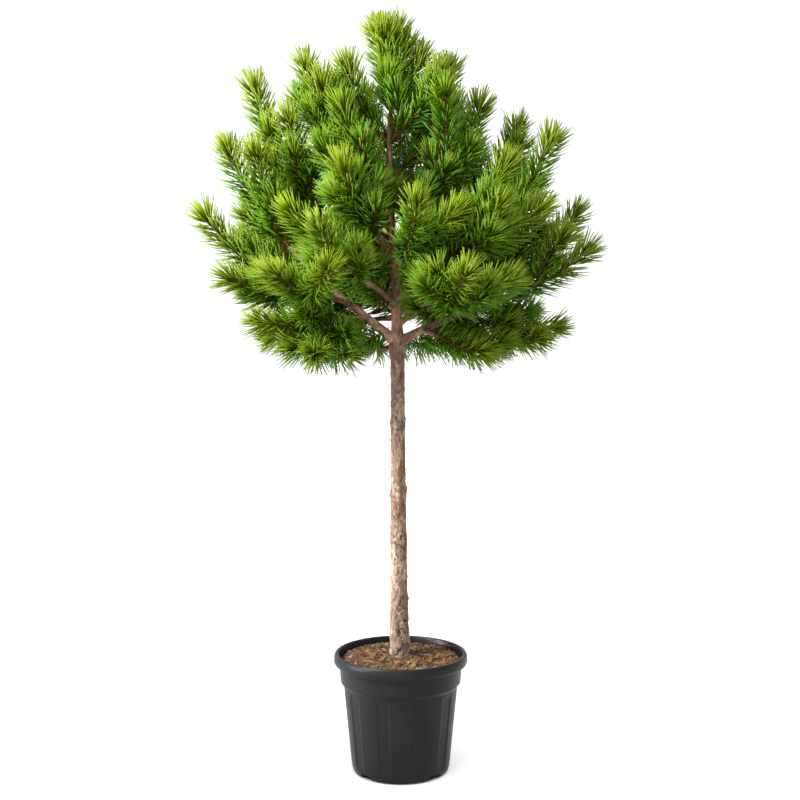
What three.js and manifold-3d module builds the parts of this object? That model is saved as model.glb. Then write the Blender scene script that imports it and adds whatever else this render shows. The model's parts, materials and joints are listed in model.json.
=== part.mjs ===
// A young stone pine grown as a standard: a clear stem, whorls of rising boughs and a crown of
// needle shoots, in a fluted nursery pot filled with bark mulch.
// Millimetres, +Z up, +X to the right, -Y to the front. The origin is the centre of the pot's
// flat underside.
import * as THREE from 'three';
import Module from 'manifold-3d';

const wasm = await Module();
wasm.setup();

const UP = new THREE.Vector3(0, 0, 1);
const CLEAR = 0.3; // gap left between pieces that bear on each other
const TURN = 2 * Math.PI;

// ---------------------------------------------------------------- sizes, in millimetres

const POT = {
  height: 253,
  segments: 40,
  footRadius: 94,
  cornerRadius: 104,
  cornerHeight: 10,
  shoulderRadius: 121,
  shoulderHeight: 184,
  collarRadius: 127.5,
  collarHeight: 192,
  collarTop: 130.5, // radius under the lip
  lipHeight: 229,
  lipFoot: 139.5,
  lipRadius: 142,
  rimRadius: 140.5,
  rimInner: 131.5,
  wall: 3,
  floor: 5,
  panels: 10,
  fluteDepth: 1.8,
  panelBulge: 0.5,
  notches: 4,
  notchWidth: 26,
  notchHeight: 9,
  notchDepth: 11,
};

const MULCH = {
  edge: 240,
  top: 243.7,
  pad: 25, // level patch under the stem
  ripple: 2.4,
  chips: 12,
};

const TRUNK = {
  foot: 244,
  fork: 906,
  top: 1378,
  sides: 10,
  step: 34,
  footRadius: 21.8,
  flareHeight: 95,
  stemRadius: 18.2,
  clearRadius: 13.6, // just below the fork
  forkSwell: 3.4,
  aboveFork: 14,
  topRadius: 4.6,
  scars: [496, 596, 742], // old whorls on the clear stem
  scarSwell: 1.3,
};

const NEEDLE = {
  length: 57,
  spread: 46, // degrees off the shoot, along its length
  tipSpread: 32, // degrees off the shoot, towards its end
  endSpread: 14, // degrees off the shoot, on its very end
  sides: 4, // needle rows round a shoot
  pitch: 26, // along the shoot
  core: 8, // radius of the shoot and the needle bases round it
  tipCore: 5,
  shortest: 0.4, // a needle cut shorter than this share of its length is left out
  margin: 1.8, // kept between a needle and the next shoot's space
  limbMargin: 1.2,
};

const SHOOT = {
  sideFrom: 0.04, // where side shoots may leave their stem, as shares of it
  sideTo: 0.6,
  sideShort: 0.55, // length of a side shoot, as shares of its stem
  sideLong: 0.9,
  sideTilt: 50, // degrees off the stem at its foot
  sideBare: 14,
  clearance: 26, // least distance between two shoots, past their own foot
  tries: 40,
};

// The axis the crown is measured from, how far shoots at its foot lean out, and the reach of the
// shoot ends at each height. Side shoots end within `inner` of that reach.
const CROWN = {
  x: -12,
  foot: 880,
  footLean: 100,
  leanFade: 300, // height in which the lean falls to about a third
  inner: 0.9,
  headroom: 50, // a side shoot's end stays this far under the profile
  profile: [
    [880, 120],
    [900, 265],
    [955, 330],
    [1094, 385],
    [1162, 385],
    [1300, 345],
    [1431, 292],
    [1474, 190],
    [1543, 40],
  ],
};

// One row a limb. `from` is the limb it grows from; `at` is a height on the trunk, or a share of
// the way along that limb. The shoot at its end finishes at azimuth `az`, `reach` from the crown's
// axis, `top` above the floor. `rise` is the limb's slope at its root, `bare` the length without
// needles, `thick` its radius at the root, and `sides` the number of shoots that branch off it.
// A row's `side` is one more shoot, at its own share of the stem, turn round it and length.
const LIMBS = [
  // lowest whorl
  { name: 'left', at: 912, az: 177, reach: 343, top: 1300, rise: 38, bare: 300,
    thick: 10.5, sides: 1 },
  { name: 'right', at: 910, az: 354, reach: 387, top: 1094, rise: 30, bare: 270,
    thick: 9.6, sides: 1 },
  { name: 'rear', at: 918, az: 92, reach: 372, top: 1130, rise: 33, bare: 190,
    thick: 8.8, sides: 2 },
  // side limbs of the lowest whorl
  { name: 'left_outer', from: 'left', at: 0.27, az: 183, reach: 385, top: 1162, rise: 2,
    bare: 60, thick: 5.5, sides: 1, side: { share: 0.08, turn: 315, length: 165, tilt: 30 } },
  { name: 'left_low', from: 'left', at: 0.15, az: 205, reach: 287, top: 955, rise: 0,
    bare: 80, thick: 6, side: { share: 0.1, turn: 308, length: 165, tilt: 58 } },
  { name: 'front_left_low', from: 'left', at: 0.24, az: 226, reach: 318, top: 1045, rise: 14,
    bare: 80, thick: 5.5, sides: 1 },
  { name: 'right_mid', from: 'right', at: 0.42, az: 8, reach: 379, top: 1172, rise: 34,
    bare: 60, thick: 5.5, sides: 1, side: { share: 0.05, turn: 130, length: 150 } },
  { name: 'right_low', from: 'right', at: 0.34, az: 3, reach: 326, top: 940, rise: -14,
    bare: 50, thick: 5.5, sides: 1, side: { share: 0.15, turn: 215, length: 115 } },
  { name: 'right_front_low', from: 'right', at: 0.14, az: 322, reach: 216, top: 898, rise: -10,
    bare: 40, thick: 5 },
  { name: 'front_right_low', from: 'right', at: 0.22, az: 294, reach: 328, top: 1048, rise: 18,
    bare: 90, thick: 5.5, side: { share: 0.15, turn: 8, length: 150 } },
  { name: 'rear_left_low', from: 'rear', at: 0.2, az: 134, reach: 272, top: 930, rise: 0,
    bare: 70, thick: 5.5, sides: 1, side: { share: 0.05, turn: 75, length: 130, tilt: 65 } },
  { name: 'rear_right_low', from: 'rear', at: 0.3, az: 58, reach: 290, top: 935, rise: 0,
    bare: 70, thick: 5.5, sides: 1 },
  // second whorl
  { name: 'right_upper', at: 946, az: 357, reach: 318, top: 1318, rise: 41, bare: 250,
    thick: 5.8, sides: 1 },
  { name: 'right_high', at: 1012, az: 14, reach: 262, top: 1352, rise: 46, bare: 190,
    thick: 5.6, sides: 1 },
  { name: 'rear_right', at: 968, az: 47, reach: 385, top: 1182, rise: 34, bare: 140,
    thick: 5.8, sides: 2 },
  { name: 'left_upper', at: 976, az: 173, reach: 292, top: 1431, rise: 42, bare: 240, thick: 5.8,
    side: { share: 0.1, turn: 35, length: 205, tilt: 42 } },
  { name: 'rear_left', at: 1000, az: 140, reach: 385, top: 1200, rise: 30, bare: 130,
    thick: 5.8, sides: 2 },
  { name: 'front_left', at: 985, az: 246, reach: 328, top: 1128, rise: 28, bare: 170,
    thick: 5.4, sides: 1 },
  { name: 'front_right', at: 1020, az: 279, reach: 268, top: 1176, rise: 36, bare: 130,
    thick: 5.3, side: { share: 0.12, turn: 20, length: 135 } },
  { name: 'right_front', at: 1000, az: 314, reach: 284, top: 1176, rise: 34, bare: 130,
    thick: 5.4, sides: 2 },
  // third whorl
  { name: 'front_left_upper', at: 1075, az: 244, reach: 217, top: 1250, rise: 38, bare: 90,
    thick: 5.2, sides: 1 },
  { name: 'left_top', at: 1100, az: 172, reach: 185, top: 1474, rise: 48, bare: 170,
    thick: 5.4, sides: 2 },
  { name: 'right_top', at: 1120, az: 359, reach: 171, top: 1386, rise: 46, bare: 110,
    thick: 5.3, sides: 1 },
  { name: 'rear_upper_left', at: 1130, az: 118, reach: 262, top: 1392, rise: 44, bare: 140,
    thick: 5.4, sides: 1 },
  { name: 'rear_upper_right', at: 1112, az: 62, reach: 280, top: 1352, rise: 42, bare: 150,
    thick: 5.4, sides: 1 },
];

// Shoots that leave the upper trunk with needles from their foot up, one mass each.
const TRUNK_SHOOTS = [
  { name: 'rear_low', at: 897, az: 146, reach: 158, top: 898, rise: 0, bare: 58 },
  { name: 'upper_front_left', at: 1206, az: 228, reach: 150, top: 1371, rise: 36, bare: 34 },
  { name: 'upper_right', at: 1240, az: 32, reach: 133, top: 1472, rise: 50, bare: 34 },
  { name: 'top_left', at: 1316, az: 205, reach: 103, top: 1459, rise: 48, bare: 28 },
  { name: 'top_right', at: 1322, az: 330, reach: 101, top: 1449, rise: 46, bare: 28 },
];

const LEADER = {
  name: 'leader',
  az: 0,
  reach: 5,
  top: 1541,
  sides: 2,
  side: { share: 0.22, turn: 95, length: 122, tilt: 12 },
};

// ---------------------------------------------------------------- small helpers

const radians = THREE.MathUtils.degToRad;
const lerp = THREE.MathUtils.lerp;
const clamp = THREE.MathUtils.clamp;
const smooth = THREE.MathUtils.smoothstep;
const bump = (x, centre, width) => Math.exp(-(((x - centre) / width) ** 2));

// Seeded numbers from 0 to 1.
function seeded(seed) {
  let state = seed >>> 0;
  return () => {
    state = (state + 0x6d2b79f5) >>> 0;
    let t = Math.imul(state ^ (state >>> 15), state | 1);
    t = (t + Math.imul(t ^ (t >>> 7), t | 61)) ^ t;
    return ((t ^ (t >>> 14)) >>> 0) / 4294967296;
  };
}

const level = (azimuth) =>
  new THREE.Vector3(Math.cos(radians(azimuth)), Math.sin(radians(azimuth)), 0);

// ---------------------------------------------------------------- solids

// A triangle list as a solid, its vertices merged where they share a position.
function solid(points, faces) {
  const seen = new Map();
  const coords = [];
  const index = points.map((p) => {
    const key = `${p.x.toFixed(4)},${p.y.toFixed(4)},${p.z.toFixed(4)}`;
    if (!seen.has(key)) {
      seen.set(key, coords.length / 3);
      coords.push(p.x, p.y, p.z);
    }
    return seen.get(key);
  });
  const triangles = faces
    .map((face) => face.map((i) => index[i]))
    .filter(([a, b, c]) => a !== b && b !== c && c !== a);
  return new wasm.Manifold(
    new wasm.Mesh({
      numProp: 3,
      vertProperties: new Float32Array(coords),
      triVerts: new Uint32Array(triangles.flat()),
    }),
  );
}

// A closed skin over rings of equal count, each ring running anticlockwise seen from the next.
function loft(rings) {
  const count = rings[0].length;
  const points = rings.flat();
  const faces = [];
  for (let j = 0; j < rings.length - 1; j++) {
    for (let k = 0; k < count; k++) {
      const a = j * count + k;
      const b = j * count + ((k + 1) % count);
      faces.push([a, b, b + count], [a, b + count, a + count]);
    }
  }
  const last = (rings.length - 1) * count;
  for (let k = 1; k < count - 1; k++) {
    faces.push([0, k + 1, k]);
    faces.push([last, last + k, last + k + 1]);
  }
  return solid(points, faces);
}

const ringAt = (centre, u, v, radii) =>
  radii.map((r, k) => {
    const angle = (TURN * k) / radii.length;
    return centre
      .clone()
      .addScaledVector(u, r * Math.cos(angle))
      .addScaledVector(v, r * Math.sin(angle));
  });

// What is left of a solid outside a cutter: its largest piece.
function cutAway(made, cutter) {
  const pieces = made.subtract(cutter).decompose();
  return pieces.reduce((best, piece) => (piece.volume() > best.volume() ? piece : best));
}

function mesh(made, name, colour, roughness) {
  const got = made.getMesh();
  const geometry = new THREE.BufferGeometry();
  const position = new Float32Array(got.numVert * 3);
  for (let i = 0; i < got.numVert; i++) {
    for (let axis = 0; axis < 3; axis++) {
      position[3 * i + axis] = got.vertProperties[got.numProp * i + axis];
    }
  }
  geometry.setAttribute('position', new THREE.BufferAttribute(position, 3));
  geometry.setIndex(new THREE.BufferAttribute(new Uint32Array(got.triVerts), 1));
  geometry.computeVertexNormals();
  const material = new THREE.MeshStandardMaterial({ color: colour, roughness, metalness: 0 });
  const piece = new THREE.Mesh(geometry, material);
  piece.name = name;
  return piece;
}

// ---------------------------------------------------------------- pot and mulch

// The pot's outside runs from the foot up to the rim; its inside runs back down to the floor.
const POT_OUTSIDE = [
  [POT.footRadius, 0],
  [POT.cornerRadius - 2.5, 2.5],
  [POT.cornerRadius, POT.cornerHeight],
  [POT.cornerRadius + 1.5, 24],
  [POT.shoulderRadius - 1.4, POT.shoulderHeight - 14],
  [POT.shoulderRadius, POT.shoulderHeight],
  [POT.collarRadius, POT.collarHeight],
  [POT.collarTop, POT.lipHeight],
  [POT.lipFoot, POT.lipHeight + 1.5],
  [POT.lipRadius, POT.lipHeight + 7],
  [POT.lipRadius, POT.height - 9],
  [POT.rimRadius, POT.height - 3],
  [POT.rimRadius - 2, POT.height],
];
const POT_INSIDE = [
  [POT.rimInner + 1.5, POT.height],
  [POT.rimInner, POT.height - 2.5],
  [POT.collarTop - POT.wall - 0.5, POT.lipHeight - 1],
  [POT.collarRadius - POT.wall - 0.2, POT.collarHeight + 4],
  [POT.shoulderRadius - POT.wall - 1.4, POT.shoulderHeight],
  [POT.cornerRadius - POT.wall - 1, 20],
  [83, POT.floor],
];

// Flutes stand between ten shallow panels and fade out at the shoulder and the foot.
function fluted(radius, height, k) {
  const perPanel = POT.segments / POT.panels;
  const step = (k + perPanel / 2) % perPanel;
  const fade =
    smooth(height, POT.cornerHeight, 24) *
    (1 - smooth(height, POT.shoulderHeight - 14, POT.shoulderHeight));
  if (step === 0) {
    return radius - POT.fluteDepth * fade;
  }
  return step === perPanel / 2 ? radius + POT.panelBulge * fade : radius;
}

// A panel faces straight to the front, so the ring's first vertex sits on a panel's middle there.
function potRing(radius, height, flutes) {
  const radii = Array.from({ length: POT.segments }, (_, k) =>
    flutes ? fluted(radius, height, k) : radius,
  );
  return ringAt(new THREE.Vector3(0, 0, height), level(270), level(0), radii);
}

// A cut for one drain recess at the foot of the wall, facing `azimuth`.
function notchCut(azimuth) {
  const out = level(azimuth);
  const across = level(azimuth + 90);
  const half = POT.notchWidth / 2;
  const inner = POT.cornerRadius - POT.notchDepth;
  const outline = [
    [-half, -1],
    [half, -1],
    [half - 2, POT.notchHeight],
    [2 - half, POT.notchHeight],
  ];
  return loft(
    [inner, inner + 40].map((distance) =>
      outline.map(([side, height]) =>
        out
          .clone()
          .multiplyScalar(distance)
          .addScaledVector(across, side)
          .addScaledVector(UP, height),
      ),
    ),
  );
}

function makePot() {
  const rings = [
    ...POT_OUTSIDE.map(([r, z]) => potRing(r, z, true)),
    ...POT_INSIDE.map(([r, z]) => potRing(r, z, false)),
  ];
  let pot = loft(rings);
  for (let i = 0; i < POT.notches; i++) {
    pot = pot.subtract(notchCut(45 + (360 / POT.notches) * i));
  }
  return pot;
}

// A profile moved bodily inward by `gap`, each edge along its own normal.
function inset(profile, gap) {
  const normals = profile.slice(1).map(([r, z], i) => {
    const along = new THREE.Vector2(r - profile[i][0], z - profile[i][1]).normalize();
    return new THREE.Vector2(along.y, -along.x);
  });
  return profile.map(([r, z], i) => {
    const before = normals[Math.max(i - 1, 0)];
    const after = normals[Math.min(i, normals.length - 1)];
    const push = gap / (1 + before.dot(after));
    return [r + (before.x + after.x) * push, z + (before.y + after.y) * push];
  });
}

// A bark chip lies at `centre` on the mulch, long side towards `azimuth`, tilted a little.
function barkChip(centre, azimuth, length, width, thick, tilt) {
  const along = level(azimuth).addScaledVector(UP, tilt).normalize();
  const across = level(azimuth + 90);
  const over = along.clone().cross(across);
  return loft(
    [-0.5, 0.42].map((end) => {
      const middle = centre.clone().addScaledVector(along, length * end);
      const half = (width / 2) * (end < 0 ? 0.8 : 1);
      return [
        [half, -thick],
        [half * 0.8, thick / 2],
        [-half, thick / 2],
        [-half * 0.9, -thick],
      ].map(([side, height]) =>
        middle.clone().addScaledVector(across, side).addScaledVector(over, height),
      );
    }),
  );
}

function mulchTop(radius) {
  const edge = POT.rimInner - 4;
  return lerp(MULCH.top, MULCH.edge, (Math.max(radius, MULCH.pad) - MULCH.pad) / (edge - MULCH.pad));
}

function makeMulch() {
  const random = seeded(12);
  const inside = inset([...POT_INSIDE].reverse(), -CLEAR);
  const wall = inside.filter(([, z]) => z < MULCH.edge - 6);
  const [low, high] = [inside.at(-3), inside.at(-2)];
  const edgeRadius = lerp(low[0], high[0], (MULCH.edge - low[1]) / (high[1] - low[1]));
  const rings = [...wall, [edgeRadius, MULCH.edge]].map(([r, z]) => potRing(r, z, false));
  for (const radius of [108, 80, 52]) {
    const ring = potRing(radius, mulchTop(radius), false);
    ring.forEach((p) => {
      p.z += MULCH.ripple * (2 * random() - 1);
    });
    rings.push(ring);
  }
  rings.push(potRing(MULCH.pad, MULCH.top, false));
  const chips = Array.from({ length: MULCH.chips }, (_, i) => {
    const azimuth = i * 137.5;
    const radius = lerp(44, 108, Math.sqrt((i + 0.5) / MULCH.chips));
    const centre = level(azimuth).multiplyScalar(radius);
    centre.z = mulchTop(radius) + 0.5;
    const length = lerp(17, 34, random());
    return barkChip(
      centre,
      azimuth + 90 + 50 * (random() - 0.5),
      length,
      length * lerp(0.4, 0.6, random()),
      lerp(2.6, 4.2, random()),
      0.24 * (random() - 0.5),
    );
  });
  return wasm.Manifold.union([loft(rings), ...chips]);
}

// ---------------------------------------------------------------- trunk

// The stem leans slightly to the left, sways further left through the crown and comes back.
function trunkAxis(z) {
  const share = clamp((z - TRUNK.foot) / (TRUNK.fork - TRUNK.foot), 0, 1);
  const sway = 17 * smooth(z, TRUNK.fork - 20, 1330) - 5 * smooth(z, 1330, 1420);
  return new THREE.Vector3(-3 - 4 * share - sway, 3 * Math.sin(z / 160), z);
}

function trunkRadius(z) {
  const flare = (TRUNK.footRadius - TRUNK.stemRadius) * Math.exp(-(z - TRUNK.foot) / TRUNK.flareHeight);
  const scars = TRUNK.scars.reduce((sum, at) => sum + TRUNK.scarSwell * bump(z, at, 13), 0);
  if (z <= TRUNK.fork) {
    const share = (z - TRUNK.foot) / (TRUNK.fork - TRUNK.foot);
    const body = lerp(TRUNK.stemRadius, TRUNK.clearRadius, share ** 0.7);
    return body + flare + scars + TRUNK.forkSwell * bump(z, TRUNK.fork, 26);
  }
  const share = (z - TRUNK.fork) / (TRUNK.top - TRUNK.fork);
  const body = lerp(TRUNK.aboveFork, TRUNK.topRadius, share ** 0.5);
  return body + (TRUNK.clearRadius + TRUNK.forkSwell - TRUNK.aboveFork) * bump(z, TRUNK.fork, 26);
}

// The same trunk can be made thicker all round, as the cutter for what grows out of it.
function makeTrunk(grown) {
  const random = seeded(7);
  const count = Math.round((TRUNK.top - TRUNK.foot) / TRUNK.step);
  const heights = Array.from({ length: count + 1 }, (_, i) =>
    lerp(TRUNK.foot, TRUNK.top, i / count),
  );
  heights.splice(1, 0, TRUNK.foot + 12);
  const rings = heights.map((z) => {
    const radius = trunkRadius(z);
    const roots = 0.07 * Math.exp(-(z - TRUNK.foot) / TRUNK.flareHeight);
    const radii = Array.from({ length: TRUNK.sides }, (_, k) => {
      const lobe = 1 + roots * Math.cos((TURN * 3 * k) / TRUNK.sides);
      return radius * lobe * (1 + 0.06 * (random() - 0.5)) + grown;
    });
    return ringAt(trunkAxis(z), level(0), level(90), radii);
  });
  return loft(rings);
}

// ---------------------------------------------------------------- paths

const STEPS = 64; // points taken off a curve before they are spaced evenly

// The point a share of the way along evenly spaced points.
function pointAlong(points, share) {
  const place = clamp(share, 0, 1) * (points.length - 1);
  const i = Math.min(Math.floor(place), points.length - 2);
  return points[i].clone().lerp(points[i + 1], place - i);
}

// The direction there, taken over one spacing.
function directionAlong(points, share) {
  const half = 0.5 / (points.length - 1);
  return pointAlong(points, share + half).sub(pointAlong(points, share - half)).normalize();
}

// A path: `count` + 1 evenly spaced points of the curve that `pointAt` traces from 0 to 1.
function pathOf(pointAt, count) {
  const raw = Array.from({ length: STEPS + 1 }, (_, i) => pointAt(i / STEPS));
  const runs = [0];
  raw.slice(1).forEach((p, i) => runs.push(runs[i] + p.distanceTo(raw[i])));
  const length = runs.at(-1);
  const points = Array.from({ length: count + 1 }, (_, i) => {
    const wanted = (length * i) / count;
    const past = runs.findIndex((run) => run >= wanted);
    const k = past < 0 ? STEPS : Math.max(past, 1);
    return raw[k - 1].clone().lerp(raw[k], (wanted - runs[k - 1]) / (runs[k] - runs[k - 1]));
  });
  return { points, length };
}

// The part of a path from one distance along it to another.
function partOf(path, from, to, count) {
  const points = Array.from({ length: count + 1 }, (_, i) =>
    pointAlong(path.points, lerp(from, to, i / count) / path.length),
  );
  return { points, length: to - from };
}

// The curve through weighted corner points: quadratic for three, cubic for four.
const bezier = (corners) => (t) => {
  let left = corners;
  while (left.length > 1) {
    left = left.slice(1).map((p, i) => left[i].clone().lerp(p, t));
  }
  return left[0];
};

// The lean from upright of a shoot at height z: low shoots lie out, high ones stand.
const leanAt = (z) => radians(CROWN.footLean * Math.exp((CROWN.foot - z) / CROWN.leanFade));

// The direction a shoot grows in at height z, leaning towards a level direction.
const leaning = (out, z) =>
  out.clone().multiplyScalar(Math.sin(leanAt(z))).addScaledVector(UP, Math.cos(leanAt(z)));

// Where a row's own shoot ends.
function rowEnd(row) {
  const end = level(row.az).multiplyScalar(row.reach);
  return new THREE.Vector3(end.x + CROWN.x, end.y, row.top);
}

// A limb's path: it leaves `start` at its own slope and turns up into its shoot's lean.
function limbPath(row, start) {
  const end = rowEnd(row);
  const out = end.clone().sub(start);
  const span = out.length();
  out.setZ(0).normalize();
  const root = out.multiplyScalar(Math.cos(radians(row.rise)));
  root.addScaledVector(UP, Math.sin(radians(row.rise)));
  const corners = [
    start,
    start.clone().addScaledVector(root, span * 0.42),
    end.clone().addScaledVector(leaning(level(row.az), row.top), -span * 0.36),
    end,
  ];
  return pathOf(bezier(corners), 48);
}

// A side shoot's path: off the stem at a tilt, then turning up into the lean at its own height.
// A turn of 0 is to the left of the stem's heading, 90 above it, 180 to its right.
function sidePath(stem, { share, turn, length, tilt = SHOOT.sideTilt }) {
  const start = pointAlong(stem.path.points, share);
  const along = directionAlong(stem.path.points, share);
  const across = level(stem.heading + 90);
  across.addScaledVector(along, -across.dot(along)).normalize();
  const above = along.clone().cross(across);
  const first = along
    .multiplyScalar(Math.cos(radians(tilt)))
    .addScaledVector(across, Math.sin(radians(tilt)) * Math.cos(radians(turn)))
    .addScaledVector(above, Math.sin(radians(tilt)) * Math.sin(radians(turn)));
  const middle = start.clone().addScaledVector(first, length * 0.45);
  const out = first.setZ(0).normalize();
  const end = middle.clone().addScaledVector(leaning(out, middle.z), length * 0.55);
  return pathOf(bezier([start, middle, end]), 8);
}

// Frames along a path, each turned as little as possible from the one before.
function framesAlong(path, distances) {
  let u = new THREE.Vector3(0, 1, 0);
  return distances.map((distance) => {
    const centre = pointAlong(path.points, distance / path.length);
    const along = directionAlong(path.points, distance / path.length);
    u = u.clone().addScaledVector(along, -u.dot(along)).normalize();
    return { centre, along, u, v: along.clone().cross(u) };
  });
}

// ---------------------------------------------------------------- spaces

// Distance from a point to a chain of points, and how far along the chain's radii it falls.
function nearest(point, chain) {
  let best = { distance: Infinity, share: 0 };
  for (let i = 0; i < chain.length - 1; i++) {
    const a = chain[i];
    const b = chain[i + 1];
    const [ex, ey, ez] = [b.x - a.x, b.y - a.y, b.z - a.z];
    const [px, py, pz] = [point.x - a.x, point.y - a.y, point.z - a.z];
    const t = clamp((px * ex + py * ey + pz * ez) / (ex * ex + ey * ey + ez * ez), 0, 1);
    const distance = Math.hypot(px - t * ex, py - t * ey, pz - t * ez);
    if (distance < best.distance) {
      best = { distance, share: (i + t) / (chain.length - 1) };
    }
  }
  return best;
}

const limbs = []; // what is bare: { name, path, radius(share) }
const shoots = []; // what bears needles: { mass, heading, path, bare, rootRadius }

// Other shoots and limbs near enough to matter to one shoot.
function neighbours(shoot, range) {
  const near = (chain) => chain.some((p) => nearest(p, shoot.path.points).distance < range);
  return {
    shoots: shoots.filter((other) => other !== shoot && near(other.path.points)),
    limbs: limbs.filter((limb) => near(limb.path.points)),
  };
}

// True where a point is nearer its own shoot than any other, and clear of every limb.
function inOwnSpace(point, shoot, around) {
  const own = nearest(point, shoot.path.points).distance + NEEDLE.margin;
  return (
    around.shoots.every((other) => nearest(point, other.path.points).distance > own) &&
    around.limbs.every((limb) => {
      const { distance, share } = nearest(point, limb.path.points);
      return distance > limb.radius(share) + NEEDLE.limbMargin;
    })
  );
}

// ---------------------------------------------------------------- limbs

// A limb as a solid, thicker all round by `grown` where it serves as a cutter.
function limbSolid(limb, grown) {
  const count = Math.max(3, Math.round(limb.path.length / 65));
  const distances = Array.from({ length: count + 1 }, (_, i) => (limb.path.length * i) / count);
  const rings = framesAlong(limb.path, distances).map(({ centre, u, v }, i) =>
    ringAt(centre, u, v, Array(limb.sides).fill(limb.radius(i / count) + grown)),
  );
  return loft(rings);
}

// A limb tapers evenly from its root to its shoot's own radius, with a collar where it joins.
function makeLimb(row, whole) {
  const path = partOf(whole, 0, row.bare, 10);
  const radius = (share) =>
    lerp(row.thick, NEEDLE.tipCore, share ** 0.85) +
    0.22 * row.thick * bump(share * path.length, 12, 14);
  return { name: row.name, path, radius, sides: row.thick > 8 ? 7 : 5 };
}

// ---------------------------------------------------------------- needle shoots

// The most a core's radius may be at a point, half way to the nearest other mass.
function coreRoom(point, shoot, around) {
  const rooms = around.shoots
    .filter((other) => other.mass !== shoot.mass)
    .map((other) => nearest(point, other.path.points).distance / 2 - 0.8);
  return Math.min(NEEDLE.core, ...rooms);
}

const middleOf = (corners) =>
  corners.reduce((sum, p) => sum.add(p), new THREE.Vector3()).divideScalar(corners.length);

// The direction of the needle on a facet: outward from the shoot's middle, spread off its length.
function needleDirection(centre, frame, spread) {
  const out = centre.clone().sub(frame.centre);
  out.addScaledVector(frame.along, -out.dot(frame.along)).normalize();
  return out.multiplyScalar(Math.sin(spread)).addScaledVector(frame.along, Math.cos(spread));
}

// The apex of the longest needle that stands on a base inside its shoot's own space, or null
// where even a short one has no room.
function needleApex(base, direction, length, shoot, around) {
  const centre = middleOf(base);
  for (let share = 1; share >= NEEDLE.shortest; share -= 0.15) {
    const apex = centre.clone().addScaledVector(direction, length * share);
    const samples = base.flatMap((corner) =>
      [0.15, 0.4, 0.65, 0.88].map((t) => corner.clone().lerp(apex, t)),
    );
    if ([...samples, apex].every((p) => inOwnSpace(p, shoot, around))) {
      return apex;
    }
  }
  return null;
}

// A shoot: a slim core in rings that are each turned half a step, every facet between two rings
// drawn out into a needle.
function shootSolid(shoot, seed) {
  const random = seeded(seed);
  const around = neighbours(shoot, 150);
  const { sides, core, tipCore } = NEEDLE;
  const bands = Math.max(3, Math.round((shoot.path.length - shoot.bare) / NEEDLE.pitch));
  const distances = Array.from({ length: bands + 1 }, (_, i) =>
    lerp(shoot.bare, shoot.path.length, i / bands),
  );
  if (shoot.bare > 0) {
    distances.unshift(0);
  }
  const frames = framesAlong(shoot.path, distances);
  const points = [];
  frames.forEach(({ centre, u, v }, j) => {
    const share = distances[j] / shoot.path.length;
    const room = distances[j] > 0 ? coreRoom(centre, shoot, around) : core;
    const wanted = j === 0 ? shoot.rootRadius : lerp(core, tipCore, smooth(share, 0.75, 1));
    const radius = Math.min(wanted, room);
    for (let k = 0; k < sides; k++) {
      const angle = (TURN * (k + j / 2)) / sides;
      points.push(
        centre
          .clone()
          .addScaledVector(u, radius * Math.cos(angle))
          .addScaledVector(v, radius * Math.sin(angle)),
      );
    }
  });
  const faces = [];
  const growNeedle = (face, frame, spread) => {
    const length = NEEDLE.length * lerp(0.84, 1.04, random());
    const base = face.map((i) => points[i]);
    const direction = needleDirection(middleOf(base), frame, radians(spread));
    const apex = needleApex(base, direction, length, shoot, around);
    if (!apex) {
      faces.push(face);
      return;
    }
    const [a, b, c] = face;
    const top = points.push(apex) - 1;
    faces.push([a, b, top], [b, c, top], [c, a, top]);
  };
  const firstBand = shoot.bare > 0 ? 1 : 0;
  frames.slice(1).forEach((frame, j) => {
    const share = distances[j + 1] / shoot.path.length;
    const spread = lerp(NEEDLE.spread, NEEDLE.tipSpread, smooth(share, 0.7, 1));
    for (let k = 0; k < sides; k++) {
      const next = (k + 1) % sides;
      const [a, b] = [j * sides + k, j * sides + next];
      const [c, d] = [(j + 1) * sides + k, (j + 1) * sides + next];
      for (const face of [[a, b, c], [b, d, c]]) {
        if (j < firstBand) {
          faces.push(face);
        } else {
          growNeedle(face, frames[j], spread);
        }
      }
    }
  });
  const end = frames.at(-1);
  const lastRing = (frames.length - 1) * sides;
  const tip = points.push(end.centre.clone().addScaledVector(end.along, tipCore / 2)) - 1;
  for (let k = 0; k < sides; k++) {
    growNeedle([lastRing + k, lastRing + ((k + 1) % sides), tip], end, NEEDLE.endSpread);
  }
  for (let k = 1; k < sides - 1; k++) {
    faces.push([0, k + 1, k]);
  }
  return solid(points, faces);
}

// A shoot of a row's mass, without needles for `bare` from its root.
function addShoot(row, path, bare, rootRadius) {
  const shoot = { mass: row.name, heading: row.az, path, bare, rootRadius };
  shoots.push(shoot);
  return shoot;
}

// The reach of the shoot ends at height z.
function crownReach(z) {
  const above = CROWN.profile.findIndex(([height]) => height > z);
  if (above < 1) {
    return 0;
  }
  const [low, high] = [CROWN.profile[above - 1], CROWN.profile[above]];
  return lerp(low[1], high[1], (z - low[0]) / (high[0] - low[0]));
}

// The least distance from the outer half of a path to anything that has already grown.
function roomFor(path) {
  const chains = [...shoots, ...limbs].map((each) => each.path.points);
  const outer = path.points.slice(3);
  return Math.min(...outer.flatMap((p) => chains.map((chain) => nearest(p, chain).distance)));
}

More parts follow.
